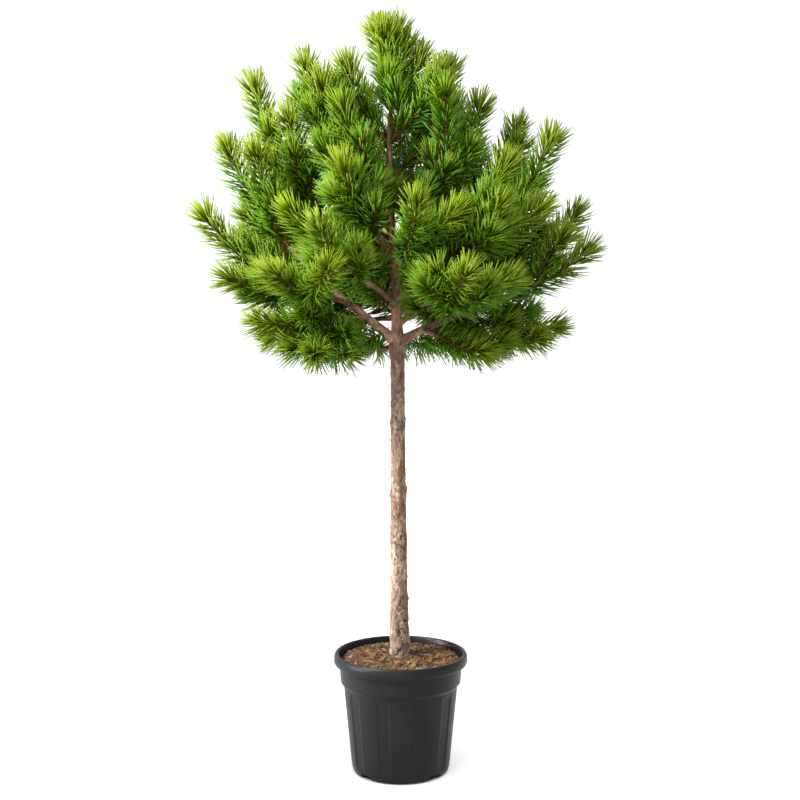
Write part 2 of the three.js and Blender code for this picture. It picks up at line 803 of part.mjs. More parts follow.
// Each side shoot is the one of several seeded tries with most room round it. It stays inside the
// crown's profile, and is left out where no try keeps clear of what has already grown.
function addSides(row, stem, seed) {
  const random = seeded(seed);
  if (row.side) {
    addShoot(row, sidePath(stem, row.side), SHOOT.sideBare, NEEDLE.tipCore);
  }
  for (let i = 0; i < (row.sides ?? 0); i++) {
    let best = { room: SHOOT.clearance };
    for (let attempt = 0; attempt < SHOOT.tries; attempt++) {
      const share = lerp(SHOOT.sideFrom, SHOOT.sideTo, random());
      const length = stem.path.length * lerp(SHOOT.sideShort, SHOOT.sideLong, random());
      const path = sidePath(stem, { share, turn: 360 * random(), length });
      const end = path.points.at(-1);
      const reach = Math.hypot(end.x - CROWN.x, end.y);
      const room = reach < CROWN.inner * crownReach(end.z + CROWN.headroom) ? roomFor(path) : 0;
      if (room > best.room) {
        best = { room, path };
      }
    }
    if (best.path) {
      addShoot(row, best.path, SHOOT.sideBare, NEEDLE.tipCore);
    }
  }
}

// ---------------------------------------------------------------- the plant

const trunkCutter = makeTrunk(CLEAR);
const trunkLimb = {
  name: 'trunk',
  path: pathOf((t) => trunkAxis(lerp(TRUNK.foot, TRUNK.top, t)), 24),
  radius: (share) => trunkRadius(lerp(TRUNK.foot, TRUNK.top, share)),
};

const wholePaths = new Map();
const stems = [];
for (const row of LIMBS) {
  const start = row.from
    ? pointAlong(wholePaths.get(row.from).points, row.at)
    : trunkAxis(row.at);
  const whole = limbPath(row, start);
  wholePaths.set(row.name, whole);
  limbs.push(makeLimb(row, whole));
  const stem = partOf(whole, row.bare + CLEAR, whole.length, 10);
  stems.push({ row, shoot: addShoot(row, stem, 8, NEEDLE.tipCore) });
}
for (const row of TRUNK_SHOOTS) {
  const whole = limbPath(row, trunkAxis(row.at));
  const stem = partOf(whole, 0, whole.length, 10);
  stems.push({ row, shoot: addShoot(row, stem, row.bare, NEEDLE.tipCore) });
}
const leaderFoot = trunkAxis(TRUNK.top + CLEAR);
const leaderBend = leaderFoot.clone().addScaledVector(UP, 80);
const leaderPath = pathOf(bezier([leaderFoot, leaderBend, rowEnd(LEADER)]), 10);
stems.push({ row: LEADER, shoot: addShoot(LEADER, leaderPath, 8, TRUNK.topRadius) });
limbs.push(trunkLimb);
stems.forEach(({ row, shoot }, i) => addSides(row, shoot, 100 + i));

const group = new THREE.Group();
group.name = 'potted_stone_pine';
group.add(mesh(makePot(), 'pot', '#36383b', 0.5));
group.add(mesh(makeMulch(), 'bark_mulch', '#8f5e38', 0.95));
group.add(mesh(makeTrunk(0), 'trunk', '#a8836c', 0.9));

const cutters = new Map();
for (const row of LIMBS) {
  const limb = limbs.find((each) => each.name === row.name);
  cutters.set(row.name, limbSolid(limb, CLEAR));
  const rooted = cutAway(limbSolid(limb, 0), cutters.get(row.from) ?? trunkCutter);
  group.add(mesh(rooted, `bough_${row.name}`, '#8d6a56', 0.9));
}

const GREENS = ['#6f9f1f', '#4f8a1c', '#39741f', '#5b951d'];
stems.forEach(({ row }, i) => {
  const parts = shoots
    .filter((shoot) => shoot.mass === row.name)
    .map((shoot, j) => shootSolid(shoot, 1000 + 20 * i + j));
  const joined = wasm.Manifold.union(parts);
  const rooted = TRUNK_SHOOTS.includes(row) ? cutAway(joined, trunkCutter) : joined;
  group.add(mesh(rooted, `foliage_${row.name}`, GREENS[i % GREENS.length], 0.7));
});

export default group;
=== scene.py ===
# %% [markdown]
# # A potted stone pine
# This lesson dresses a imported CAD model: a young stone pine grown as a standard, in a fluted
# nursery pot filled with bark mulch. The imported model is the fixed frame. Each step below makes
# one kind of thing, such as bark or needles, and says which solids of the frame it stands for.
# Sizes of the plant are in millimetres, as a grower measures it. One helper turns them into
# Blender's metres.

# %% Load the frame
import json
import math

import bmesh
import bpy
import numpy as np
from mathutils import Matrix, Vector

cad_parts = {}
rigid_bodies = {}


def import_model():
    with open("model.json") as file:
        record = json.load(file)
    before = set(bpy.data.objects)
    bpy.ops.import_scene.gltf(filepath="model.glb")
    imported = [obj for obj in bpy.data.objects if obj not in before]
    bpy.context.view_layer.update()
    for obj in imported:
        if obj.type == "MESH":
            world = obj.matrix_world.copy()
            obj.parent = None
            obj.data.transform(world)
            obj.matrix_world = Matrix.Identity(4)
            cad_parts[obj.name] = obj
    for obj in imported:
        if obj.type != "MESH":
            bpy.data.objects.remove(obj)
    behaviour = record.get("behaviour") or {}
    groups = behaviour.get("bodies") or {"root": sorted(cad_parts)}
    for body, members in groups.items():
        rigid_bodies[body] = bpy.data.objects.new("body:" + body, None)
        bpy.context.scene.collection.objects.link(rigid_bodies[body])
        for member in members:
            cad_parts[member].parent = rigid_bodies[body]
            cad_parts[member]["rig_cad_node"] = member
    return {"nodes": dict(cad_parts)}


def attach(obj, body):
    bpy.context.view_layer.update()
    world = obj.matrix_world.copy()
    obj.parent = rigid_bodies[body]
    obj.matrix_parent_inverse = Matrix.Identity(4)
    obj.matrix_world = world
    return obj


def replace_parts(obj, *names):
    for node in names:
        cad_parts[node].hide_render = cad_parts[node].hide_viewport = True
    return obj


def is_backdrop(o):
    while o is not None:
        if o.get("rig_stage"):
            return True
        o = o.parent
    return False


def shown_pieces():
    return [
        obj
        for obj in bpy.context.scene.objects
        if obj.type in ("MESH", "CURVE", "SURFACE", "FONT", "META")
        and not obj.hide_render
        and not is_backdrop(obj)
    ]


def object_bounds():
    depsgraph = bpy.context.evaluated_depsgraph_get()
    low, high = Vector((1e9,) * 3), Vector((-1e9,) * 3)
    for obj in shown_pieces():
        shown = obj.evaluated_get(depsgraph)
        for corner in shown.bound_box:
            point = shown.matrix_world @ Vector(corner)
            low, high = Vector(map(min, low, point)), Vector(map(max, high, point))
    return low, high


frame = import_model()
cad_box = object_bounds()
print("frame:", len(frame["nodes"]), "solids")

MM = 0.001
UP = np.array([0.0, 0.0, 1.0])
TURN = 2 * math.pi
# a seed for all that is dealt out by chance, so that every run gives the same plant
SEEDS = {
    "chips": 40, "side_shoots": 100, "shoot_twigs": 500, "limb_twigs": 800, "trunk_twigs": (900, 901),
    "stubs": 9, "boughs": 50, "needles": 3000, "tints": 77,
}

# %% [markdown]
# ## Camera, floor and light
# The plant is seen from a few metres away through a long lens, a little above the middle of the
# crown and looking slightly down, on a pale floor under soft light. The key light stands well
# to the left and high up, as wide as a window, so the crown gets a bright and a shaded side.
# The crown shades the stem, so a small light with a grid in front of it is aimed low at the
# stem from the same side. A weak fill beside the camera keeps the shade open, and a broad weak
# sun from above whitens the floor out to where it meets the sky.


# %% Camera
def add_object(name, data):
    """A new object in the scene, left at the origin."""
    thing = bpy.data.objects.new(name, data)
    bpy.context.scene.collection.objects.link(thing)
    return thing


camera = add_object("camera", bpy.data.cameras.new("camera"))
camera.data.sensor_width = 36
camera.data.lens = 60.35
camera.location = (-0.0015, -2.8, 1.021)
camera.rotation_euler = (math.radians(85.3), 0, 0)
bpy.context.scene.camera = camera
print("camera lens", camera.data.lens, "mm")

# %% Lights
WARM_WHITE = (1, 0.99, 0.975)
COOL_WHITE = (0.95, 0.98, 1)
CROWN_MIDDLE = (0, 0, 1.1)
BELOW_MIDDLE = (0, 0, 1.0)
STEM_MIDDLE = (0, 0, 0.46)


def soft_light(name, place, aim, size, watts, colour, spread=180):
    """A square area light at `place` that faces `aim`: its -Z axis runs along aim - place. A
    grid in front of it holds its beam to `spread` degrees."""
    lamp = add_object(name, bpy.data.lights.new(name, "AREA"))
    lamp.data.size = size
    lamp.data.energy = watts
    lamp.data.spread = math.radians(spread)
    lamp.data.color = colour
    lamp.location = place
    way = np.subtract(aim, place)
    level_run = math.hypot(way[0], way[1])
    lamp.rotation_euler = (math.atan2(level_run, -way[2]), 0, math.atan2(-way[0], way[1]))
    return lamp


key_light = soft_light("key_light", (-2.8, -1.6, 3.0), CROWN_MIDDLE, 1.0, 455, WARM_WHITE)
soft_light("fill_light", (0.4, -3.2, 1.6), BELOW_MIDDLE, 1.8, 6, COOL_WHITE)
stem_light = soft_light("stem_light", (-2.5, -0.6, 0.5), STEM_MIDDLE, 0.3, 2.0, WARM_WHITE, spread=18)
sun = add_object("broad_sun", bpy.data.lights.new("broad_sun", "SUN"))
sun.data.energy = 2.6
sun.data.angle = math.radians(50)
sun.rotation_euler = (math.radians(12), math.radians(-5), 0)

# %% [markdown]
# ## Materials
# Every material is made of shader nodes on object coordinates or on a mesh's own attributes.
# Colours are written as sRGB hex values, as a colour picker shows them, and one function turns
# them into the linear numbers that light is added up in.


# %% Colour and node helpers
def linear(hex_colour):
    """sRGB to linear light: c / 12.92 below 0.04045, else ((c + 0.055) / 1.055) ** 2.4."""
    value = int(hex_colour.lstrip("#"), 16)
    srgb = np.array([(value >> shift & 255) / 255 for shift in (16, 8, 0)])
    low = srgb / 12.92
    high = ((srgb + 0.055) / 1.055) ** 2.4
    return (*np.where(srgb <= 0.04045, low, high).tolist(), 1.0)


def connect(tree, node, **inputs):
    """Sets a node's sockets. Each of `inputs` is a socket or a node to link from, which gives its
    first output in use, or a plain value. It goes by the socket's name with _ for a space, or by
    n and its number where a node has several of one name."""
    for name, value in inputs.items():
        numbered = name[0] == "n" and name[1:].isdigit()
        socket = node.inputs[int(name[1:]) if numbered else name.replace("_", " ")]
        if isinstance(value, bpy.types.Node):
            value = next(output for output in value.outputs if output.enabled)
        if isinstance(value, bpy.types.NodeSocket):
            tree.links.new(value, socket)
        else:
            socket.default_value = value


def add_node(tree, kind, settings=None, stops=(), **inputs):
    """Adds a shader node and connects it. `settings` are its own properties, and `stops` the
    positions and colours of a ramp."""
    node = tree.nodes.new("ShaderNode" + kind)
    for name, value in (settings or {}).items():
        setattr(node, name, value)
    for number, (position, colour) in enumerate(stops):
        elements = node.color_ramp.elements
        stop = elements[number] if number < len(elements) else elements.new(1.0)
        stop.position = position
        stop.color = linear(colour)
    connect(tree, node, **inputs)
    return node


def new_material(name):
    """An empty principled material: its node tree, its shader and its object coordinates."""
    material = bpy.data.materials.new(name)
    material.use_nodes = True
    tree = material.node_tree
    shader = next(n for n in tree.nodes if n.type == "BSDF_PRINCIPLED")
    place = add_node(tree, "TexCoord").outputs["Object"]
    return material, tree, shader, place


print("leaf green in linear light:", np.round(linear("#5c9a16")[:3], 3))


# %% Moulded pot plastic
# Blow-moulded polyethylene with carbon black: a dark satin skin, a little cloudy in tone and
# gloss, with a fine grain from the mould. IOR 1.51. In the drain recesses a mesh attribute is
# 1, and there the colour is mixed to near black as painted shade.
def pot_plastic():
    """One noise with clouds about 70 mm wide sets both tone and gloss; a finer one is the grain."""
    material, tree, shader, place = new_material("blow_moulded_black_polyethylene")
    cloud = add_node(tree, "TexNoise", Vector=place, Scale=14.0, Detail=5.0, Roughness=0.6)
    tone = add_node(
        tree, "ValToRGB", stops=[(0.3, "#0d0e10"), (0.55, "#111315"), (0.75, "#16181b")], Fac=cloud
    )
    gloss = add_node(tree, "MapRange", Value=cloud, From_Min=0.3, From_Max=0.7, To_Min=0.36, To_Max=0.5)
    # mould grain of about 0.6 mm, drawn at 1.2 mm so that it shows
    grain = add_node(tree, "TexNoise", Vector=place, Scale=800.0, Detail=1.0)
    relief = add_node(tree, "Bump", Height=grain, Strength=0.12, Distance=0.0003)
    # painted shade: where the recess attribute is 1 the colour goes to near black
    hollow = add_node(tree, "Attribute", {"attribute_name": "hollow"}).outputs["Fac"]
    shaded = add_node(tree, "Mix", {"data_type": "RGBA"}, Factor=hollow, n6=tone, n7=linear("#020203"))
    connect(tree, shader, Base_Color=shaded, Roughness=gloss, Normal=relief)
    connect(tree, shader, IOR=1.51, Specular_IOR_Level=0.14)
    return material


POT_PLASTIC = pot_plastic()
print("material:", POT_PLASTIC.name)

# %% Pine bark, on the plant
# Living bark. The old stem has papery grey-pink plates, red brown where one has come off, with
# dark cracks at their edges. The young wood is smooth and pinkish brown. The mesh tells which by
# three attributes: `plate` is the tone of a plate, `seam` runs from 0 in a crack to 1 on a
# plate, and `age` from 0 young to 1 old.
OLD_BARK = [
    (0.34, "#6a3c26"), (0.44, "#523d2f"), (0.58, "#614c3e"), (0.7, "#6e5a49"), (0.85, "#7e6d5b"),
    (1.0, "#978972"),
]
YOUNG_BARK = [(0.36, "#42291a"), (0.56, "#65442e"), (0.76, "#835d40"), (0.96, "#9c7655")]
BARK_CRACK = [(0.0, "#281b12"), (0.35, "#38271b"), (0.7, "#493628"), (1.0, "#513e2f")]


def pine_bark():
    """The plate's tone plus half a fine noise is looked up in two ramps, old and young. `age`
    mixes them, and where `seam` is low the crack's colour shows instead."""
    material, tree, shader, place = new_material("living_pine_bark")
    plate, seam, age = (
        add_node(tree, "Attribute", {"attribute_name": name}).outputs["Fac"]
        for name in ("plate", "seam", "age")
    )
    fleck = add_node(tree, "TexNoise", Vector=place, Scale=420.0, Detail=4.0, Roughness=0.7)
    mixed = add_node(tree, "Math", {"operation": "MULTIPLY_ADD"}, n0=fleck, n1=0.5, n2=plate)
    old = add_node(tree, "ValToRGB", stops=OLD_BARK, Fac=mixed)
    young = add_node(tree, "ValToRGB", stops=YOUNG_BARK, Fac=mixed)
    skin = add_node(tree, "Mix", {"data_type": "RGBA"}, Factor=age, n6=young, n7=old)
    crack = add_node(tree, "ValToRGB", stops=BARK_CRACK, Fac=seam)
    edge = add_node(tree, "MapRange", Value=seam, From_Min=0.15, From_Max=0.75, To_Min=0.0, To_Max=1.0)
    coat = add_node(tree, "Mix", {"data_type": "RGBA"}, Factor=edge, n6=crack, n7=skin)
    relief = add_node(tree, "Bump", Height=fleck, Strength=0.5, Distance=0.0006)
    connect(tree, shader, Base_Color=coat, Normal=relief, Roughness=0.75, Specular_IOR_Level=0.5)
    return material


PINE_BARK = pine_bark()
print("material:", PINE_BARK.name)


# %% Plain plant colours with a fine mottle
# Needles, shoot bark and bark chips each come in a few plain colours. A mottle between two near
# tones keeps a surface from looking painted. Needles are waxy, so they have a soft gloss.
def plant_colour(name, dark, light, roughness, mottle_mm, specular, bump_mm=0.0):
    """Noise with spots of `mottle_mm` mixes `dark` and `light`; the same noise may stand proud."""
    material, tree, shader, place = new_material(name)
    spots = add_node(tree, "TexNoise", Vector=place, Scale=1 / (mottle_mm * MM), Detail=3.0)
    tone = add_node(tree, "ValToRGB", stops=[(0.35, dark), (0.65, light)], Fac=spots)
    connect(tree, shader, Base_Color=tone, Roughness=roughness, Specular_IOR_Level=specular)
    if bump_mm:
        relief = add_node(tree, "Bump", Height=spots, Strength=0.6, Distance=bump_mm * MM)
        connect(tree, shader, Normal=relief)
    return material


NEEDLE_TINTS = {
    "lime": ("#596906", "#687b09"),
    "yellow_green": ("#4f6605", "#5c7607"),
    "bright_green": ("#4b6804", "#547505"),
    "mid_green": ("#476904", "#517605"),
    "deep_green": ("#446704", "#4c7405"),
    "blue_green": ("#33661c", "#3d7224"),
    "old_tan": ("#6b542c", "#806639"),
}
NEEDLE_WAX = {
    tint: plant_colour(f"waxy_pine_needle_{tint}", dark, light, 0.45, 30, 0.13)
    for tint, (dark, light) in NEEDLE_TINTS.items()
}
SHOOT_BARK = plant_colour("young_shoot_bark", "#472b14", "#654021", 0.75, 3, 0.3, 0.5)
BUD_SCALES = plant_colour("resinous_bud_scales", "#5e3e21", "#785b3a", 0.5, 2, 0.4, 0.3)
# bark chips: dark and light tone, and the share of all chips
CHIP_TINTS = {
    "tan": ("#513d24", "#644d30", 0.34),
    "red_brown": ("#3a2114", "#4c2d1a", 0.12),
    "cream": ("#66543a", "#776448", 0.1),
    "orange": ("#502f17", "#60391f", 0.05),
    "dark": ("#23170d", "#322114", 0.11),
    "brown": ("#3d2a18", "#4f3822", 0.28),
}
CHIP_BARK = {
    tint: plant_colour(f"dry_pine_bark_chip_{tint}", dark, light, 0.9, 4, 0.25, 0.8)
    for tint, (dark, light, _) in CHIP_TINTS.items()
}
MULCH_FINES = plant_colour("moist_bark_fines", "#1e140b", "#3a2819", 0.95, 5, 0.2, 3.0)
print("needle tints:", ", ".join(NEEDLE_TINTS))

# %% [markdown]
# ## Mesh helpers
# Every shape below is worked out as whole numpy arrays. A surface is a grid of points with rows
# along it and columns round it, so one function makes the faces of all of them. Blender takes
# the arrays with `foreach_set`, which is far faster than adding faces one at a time.


# %% Arrays into a mesh
def add_piece(name, points, faces, material, slot, weld=False, flat=False, **attributes):
    """A mesh from (n, 3) millimetres and (m, k) corner numbers, riding on the plant's one body.
    `weld` merges points that coincide, `flat` leaves its faces unsmoothed, and each attribute is
    one number a point."""
    points = np.asarray(points, np.float32).reshape(-1, 3) * np.float32(MM)
    faces = np.asarray(faces, np.int32)
    shape = bpy.data.meshes.new(name)
    shape.vertices.add(len(points))
    shape.vertices.foreach_set("co", points.ravel())
    shape.loops.add(faces.size)
    shape.loops.foreach_set("vertex_index", faces.ravel())
    shape.polygons.add(len(faces))
    shape.polygons.foreach_set("loop_start", np.arange(0, faces.size, faces.shape[1], dtype=np.int32))
    shape.polygons.foreach_set("use_smooth", np.full(len(faces), not flat))
    for key, values in attributes.items():
        layer = shape.attributes.new(key, "FLOAT", "POINT")
        layer.data.foreach_set("value", np.asarray(values, np.float32).ravel())
    shape.update(calc_edges=True)
    if weld:
        merged = bmesh.new()
        merged.from_mesh(shape)
        bmesh.ops.remove_doubles(merged, verts=merged.verts, dist=0.01 * MM)
        merged.to_mesh(shape)
        merged.free()
    shape.materials.append(material)
    piece = add_object(name, shape)
    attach(piece, "root")
    return piece


def grid_faces(rows, columns):
    """Quads between the rings of a grid: a point, its neighbour round the ring, and those above."""
    start = np.arange(rows - 1)[:, None] * columns
    here = np.arange(columns)[None, :]
    after = (here + 1) % columns
    quad = [start + here, start + after, start + after + columns, start + here + columns]
    return np.stack(quad, -1).reshape(-1, 4)


def joined(grids):
    """Several (rows, columns, 3) grids as one array of points and one of faces."""
    faces, offset = [], 0
    for grid in grids:
        faces.append(grid_faces(*grid.shape[:2]) + offset)
        offset += grid.shape[0] * grid.shape[1]
    return np.concatenate([grid.reshape(-1, 3) for grid in grids]), np.concatenate(faces)


def copied_faces(triangles, corners, count):
    """The triangles of `count` like blocks with so many corners each, block after block."""
    return (triangles[None] + corners * np.arange(count)[:, None, None]).reshape(-1, 3)


def triangles_in(piece):
    """Faces of n corners count as n - 2 triangles."""
    corners = np.zeros(len(piece.data.polygons), np.int32)
    piece.data.polygons.foreach_get("loop_total", corners)
    return int((corners - 2).sum())


def smooth(x, low, high):
    """0 below `low`, 1 above `high`, and 3t^2 - 2t^3 between."""
    t = np.clip((np.asarray(x, float) - low) / (high - low), 0, 1)
    return t * t * (3 - 2 * t)


def mix(a, b, share):
    """a at a share of 0, b at 1, and evenly between: a + (b - a) * share."""
    return a + (b - a) * share


def bump(x, centre, width):
    """A bell: exp(-((x - centre) / width)^2)."""
    return np.exp(-(((x - centre) / width) ** 2))


print("a 3 by 4 grid has", len(grid_faces(3, 4)), "quads")


# %% Patterns from whole numbers
def hashed(*keys):
    """Numbers from 0 to 1 that depend only on whole-number keys: the fraction of a large sine."""
    total = sum(key * weight for key, weight in zip(keys, (127.1, 311.7, 74.7)))
    return np.modf(np.abs(np.sin(total) * 43758.5453))[0]


def waves(u, v, across, key):
    """Smooth noise from -1 to 1, with a seeded value at each whole (u, v), that closes round
    after `across` steps of u: corner values mixed by 3t^2 - 2t^3 both ways."""
    i, j = np.floor(u), np.floor(v)
    s, t = smooth(u - i, 0, 1), smooth(v - j, 0, 1)
    lower = mix(hashed(i % across, j, key), hashed((i + 1) % across, j, key), s)
    upper = mix(hashed(i % across, j + 1, key), hashed((i + 1) % across, j + 1, key), s)
    return 2 * mix(lower, upper, t) - 1


def cells(u, v, across, key):
    """Plates with one seeded middle in each unit square, closing round after `across` steps of
    u: how far each point is from the seam (second nearest middle less the nearest) and the
    plate's own number."""
    nearest = np.full(u.shape, np.inf)
    second = nearest.copy()
    tone = np.zeros(u.shape)
    for right in (-1, 0, 1):
        for above in (-1, 0, 1):
            i, j = np.floor(u) + right, np.floor(v) + above
            x = i + hashed(i % across, j, key)
            y = j + hashed(i % across, j, key + 1)
            distance = np.hypot(u - x, v - y)
            closer = distance < nearest
            second = np.where(closer, nearest, np.minimum(second, distance))
            tone = np.where(closer, hashed(i % across, j, key + 2), tone)
            nearest = np.where(closer, distance, nearest)
    return second - nearest, tone


print("noise sample:", np.round(waves(np.arange(3) + 0.5, np.zeros(3), 3, 1), 2))

# %% [markdown]
# ## The pot
# A nursery pot is blow moulded: a thin tapering wall with ten shallow panels between flat flutes,
# a stepped collar, a deep lip and drain recesses round the foot. It could be revolved and then
# cut, but one grid does it all: a profile carried round the axis, pulled in by a formula at
# each flute and recess. Each corner of the profile is rounded by a short curve that starts and
# ends about a millimetre from it.

# %% Pot profile
# radius and height, from the middle of the base up the outside and down the inside
POT_OUTSIDE = [
    (0, 0), (94, 0), (101.5, 2.5), (103.8, 10.4), (104, 10.6), (105.5, 24), (119.6, 170),
    (121, 184), (127.5, 192), (130.5, 229), (139.5, 230.5), (142, 236), (142, 244),
    (140.5, 250), (138.5, 253),
]
POT_INSIDE = [
    (133, 253), (131.5, 250.5), (127, 228), (124.3, 196), (116.6, 184), (100, 20), (83, 5), (0, 5),
]
PANELS = 10
FLUTE_DEPTH = 1.8
PANEL_ARCH = 0.5
FLUTES_START = (10, 24)
FLUTES_END = (172, 179)
NOTCH_EVERY = 90
NOTCH_HALF = 13
NOTCH_HEIGHT = 10.5
NOTCH_INNER = 93


def rounded(corners, cut=1.2, steps=4):
    """Each corner becomes `steps` + 1 points of the quadratic curve from `cut` before it to
    `cut` after it, less where an edge is short."""
    corners = np.asarray(corners, float)
    before = corners[1:-1] - corners[:-2]
    after = corners[2:] - corners[1:-1]
    length_before = np.linalg.norm(before, axis=1)[:, None]
    length_after = np.linalg.norm(after, axis=1)[:, None]
    reach = np.minimum(cut, 0.45 * np.minimum(length_before, length_after))
    a = corners[1:-1] - before / length_before * reach
    b = corners[1:-1] + after / length_after * reach
    t = np.linspace(0, 1, steps + 1)[None, :, None]
    curve = (1 - t) ** 2 * a[:, None] + 2 * t * (1 - t) * corners[1:-1][:, None] + t**2 * b[:, None]
    return np.vstack([corners[:1], curve.reshape(-1, 2), corners[-1:]])


def with_steps(profile, longest):
    """The profile with points added evenly so that no edge is longer than `longest`."""
    runs = np.linalg.norm(np.diff(profile, axis=0), axis=1)
    counts = np.maximum(1, np.ceil(runs / longest).astype(int))
    parts = [
        mix(profile[i], profile[i + 1], np.linspace(0, 1, n, endpoint=False)[:, None])
        for i, n in enumerate(counts)
    ]
    return np.vstack([*parts, profile[-1:]])


pot_profile = with_steps(rounded(POT_OUTSIDE + POT_INSIDE), 5)
print("pot profile:", len(pot_profile), "points")


# %% Pot surface
def make_pot(columns=400):
    """Radius and height come from the profile. Each flute is a flat band that stands back from
    the panels beside it, each panel stands out by a flat arch, and a recess holds the foot of
    the wall at its own radius."""
    angle = np.arange(columns) * TURN / columns
    radius, height = pot_profile[:, :1], pot_profile[:, 1:]
    outside = (np.arange(len(pot_profile)) < np.argmax(pot_profile[:, 1]))[:, None]
    fade = smooth(height, *FLUTES_START) * (1 - smooth(height, *FLUTES_END)) * outside
    panel = (angle + TURN / 4) * PANELS / TURN
    across = np.abs(panel - np.round(panel)) * 2
    flute = FLUTE_DEPTH * smooth(across, 0.6, 0.68) - PANEL_ARCH * (1 - across**2)
    radii = radius - fade * flute
    from_notch = np.abs(np.degrees(angle) % NOTCH_EVERY - NOTCH_EVERY / 2)
    sideways = NOTCH_INNER * np.tan(np.radians(from_notch))
    notched = (sideways < NOTCH_HALF) & (height < NOTCH_HEIGHT) & outside
    radii = np.where(notched, np.minimum(radii, NOTCH_INNER / np.cos(np.radians(from_notch))), radii)
    points = np.stack([radii * np.cos(angle), radii * np.sin(angle), height + 0 * radii], -1)
    faces = grid_faces(len(pot_profile), columns)
    # the recess mask also goes to the material, which paints shade into the recesses
    pot = add_piece("nursery_pot", points, faces, POT_PLASTIC, "pot_plastic", weld=True, hollow=notched)
    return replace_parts(pot, "pot")


pot = make_pot()
print("pot triangles:", triangles_in(pot))

# %% [markdown]
# ## Bark mulch
# The mulch is pine bark in chips from dust to thumb size, tipped into the pot and patted down.
# A dark bumpy bed closes the gaps, and about four and a half thousand chips lie on it. Each
# chip is a thin block with six uneven sides. All the chips of one colour are one mesh, made by
# adding the same block's corners, stretched and turned, as one array.

# %% Mulch bed
MULCH_TOP = 243.7
MULCH_EDGE = 240.0
MULCH_RADIUS = 127.5
MULCH_PAD = 25.0
BED_UNDER_CHIPS = 2.5
BED_SKIRT = 14
# the bed's waves: height, length and seed
BED_WAVES = ((1.6, 9, 3), (0.9, 3.5, 4))


def mulch_height(radius):
    """The dome's height: level under the stem, then falling evenly to the edge."""
    share = (np.maximum(radius, MULCH_PAD) - MULCH_PAD) / (MULCH_RADIUS - MULCH_PAD)
    return mix(MULCH_TOP, MULCH_EDGE, share)


def make_bed(rings=60, columns=240):
    """Heights are the dome's plus waves of two sizes; the last ring turns down the wall."""
    radius = np.append(np.linspace(0, MULCH_RADIUS, rings), [MULCH_RADIUS, 0])[:, None]
    angle = np.arange(columns) * TURN / columns
    x, y = radius * np.cos(angle), radius * np.sin(angle)
    height = mulch_height(radius) - BED_UNDER_CHIPS
    for rise, length, key in BED_WAVES:
        height = height + rise * waves(x / length, y / length, 1e6, key)
    height[-2:] = MULCH_EDGE - BED_SKIRT
    points = np.stack([x, y, height], -1)[::-1]
    faces = grid_faces(rings + 2, columns)
    return add_piece("mulch_bed", points, faces, MULCH_FINES, "mulch", weld=True)


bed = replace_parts(make_bed(), "bark_mulch")
print("bed triangles:", triangles_in(bed))

# %% Bark chips
CHIPS = 4600
CHIP_CORNERS = 12
CHIP_POWER = 0.48
CHIP = {
    # length in mm, width and thickness as shares of it, and the most a chip is thick
    "length": (5, 38), "width": (0.14, 0.5), "thick": (0.1, 0.26), "thickest": 5.5,
    # how far each corner is off its place: in turn and in reach, and the upper face's size
    "turn": 0.32, "reach": (0.72, 1.05), "upper": 0.86, "upper_rise": (0.7, 1.2), "bend": 0.16,
    # how chips lie: spread of their lean and roll in radians, and mm over the dome
    "lean": 0.2, "roll": 0.26, "lift": (-0.5, 2.2),
}
STEM_ROOM = 19.0
RIM_ROOM = 1.5


def chip_points(random, count, length):
    """Six-sided blocks: a ring of uneven corners on the lower face and the same ring, shrunk a
    little, on the upper one. Each is warped along its length by a parabola, turned by three
    angles and laid on the dome, evenly over its area. (count, 12, 3)."""
    width = length * random.uniform(*CHIP["width"], count)
    thick = np.minimum(length * random.uniform(*CHIP["thick"], count), CHIP["thickest"])
    around = (np.arange(6) + random.uniform(-CHIP["turn"], CHIP["turn"], (count, 6))) * TURN / 6
    uneven = random.uniform(*CHIP["reach"], (count, 6))
    x = 0.5 * length[:, None] * np.cos(around) * uneven
    y = 0.5 * width[:, None] * np.sin(around) * uneven
    z = np.ones((count, 6)) * thick[:, None] / 2
    warp = CHIP["bend"] * random.uniform(-1, 1, count)[:, None]
    bend = warp * (x / length[:, None]) ** 2 * length[:, None]
    low = np.stack([x, y, bend - z], -1)
    rise = z * random.uniform(*CHIP["upper_rise"], (count, 6))
    high = np.stack([CHIP["upper"] * x, CHIP["upper"] * y, bend + rise], -1)
    local = np.concatenate([low, high], 1)
    heading = random.uniform(0, TURN, count)
    lean = random.normal(0, CHIP["lean"], count)
    roll = random.normal(0, CHIP["roll"], count)
    along = np.stack([np.cos(heading) * np.cos(lean), np.sin(heading) * np.cos(lean), np.sin(lean)], -1)
    side = np.stack([-np.sin(heading), np.cos(heading), 0 * heading], -1)
    over = np.cross(along, side)
    across = side * np.cos(roll)[:, None] + over * np.sin(roll)[:, None]
    normal = np.cross(along, across)
    turned = np.einsum("nij,njk->nik", local, np.stack([along, across, normal], 1))
    angle = random.uniform(0, TURN, count)
    room = MULCH_RADIUS - RIM_ROOM - 0.5 * length
    radius = np.sqrt(random.uniform((STEM_ROOM / room) ** 2, 1, count)) * room
    lift = random.uniform(*CHIP["lift"], count)
    centre = np.stack([radius * np.cos(angle), radius * np.sin(angle), mulch_height(radius) + lift], -1)
    return turned + centre[:, None, :]


def chip_faces():
    """Sides, top and bottom of one six-sided block, as triangles."""
    k = np.arange(6)
    after = (k + 1) % 6
    sides = np.concatenate([np.stack([k, after, after + 6], -1), np.stack([k, after + 6, k + 6], -1)])
    fan = np.arange(1, 5)
    bottom = np.stack([0 * fan, fan + 1, fan], -1)
    top = np.stack([6 + 0 * fan, 6 + fan, 7 + fan], -1)
    return np.concatenate([sides, bottom, top])


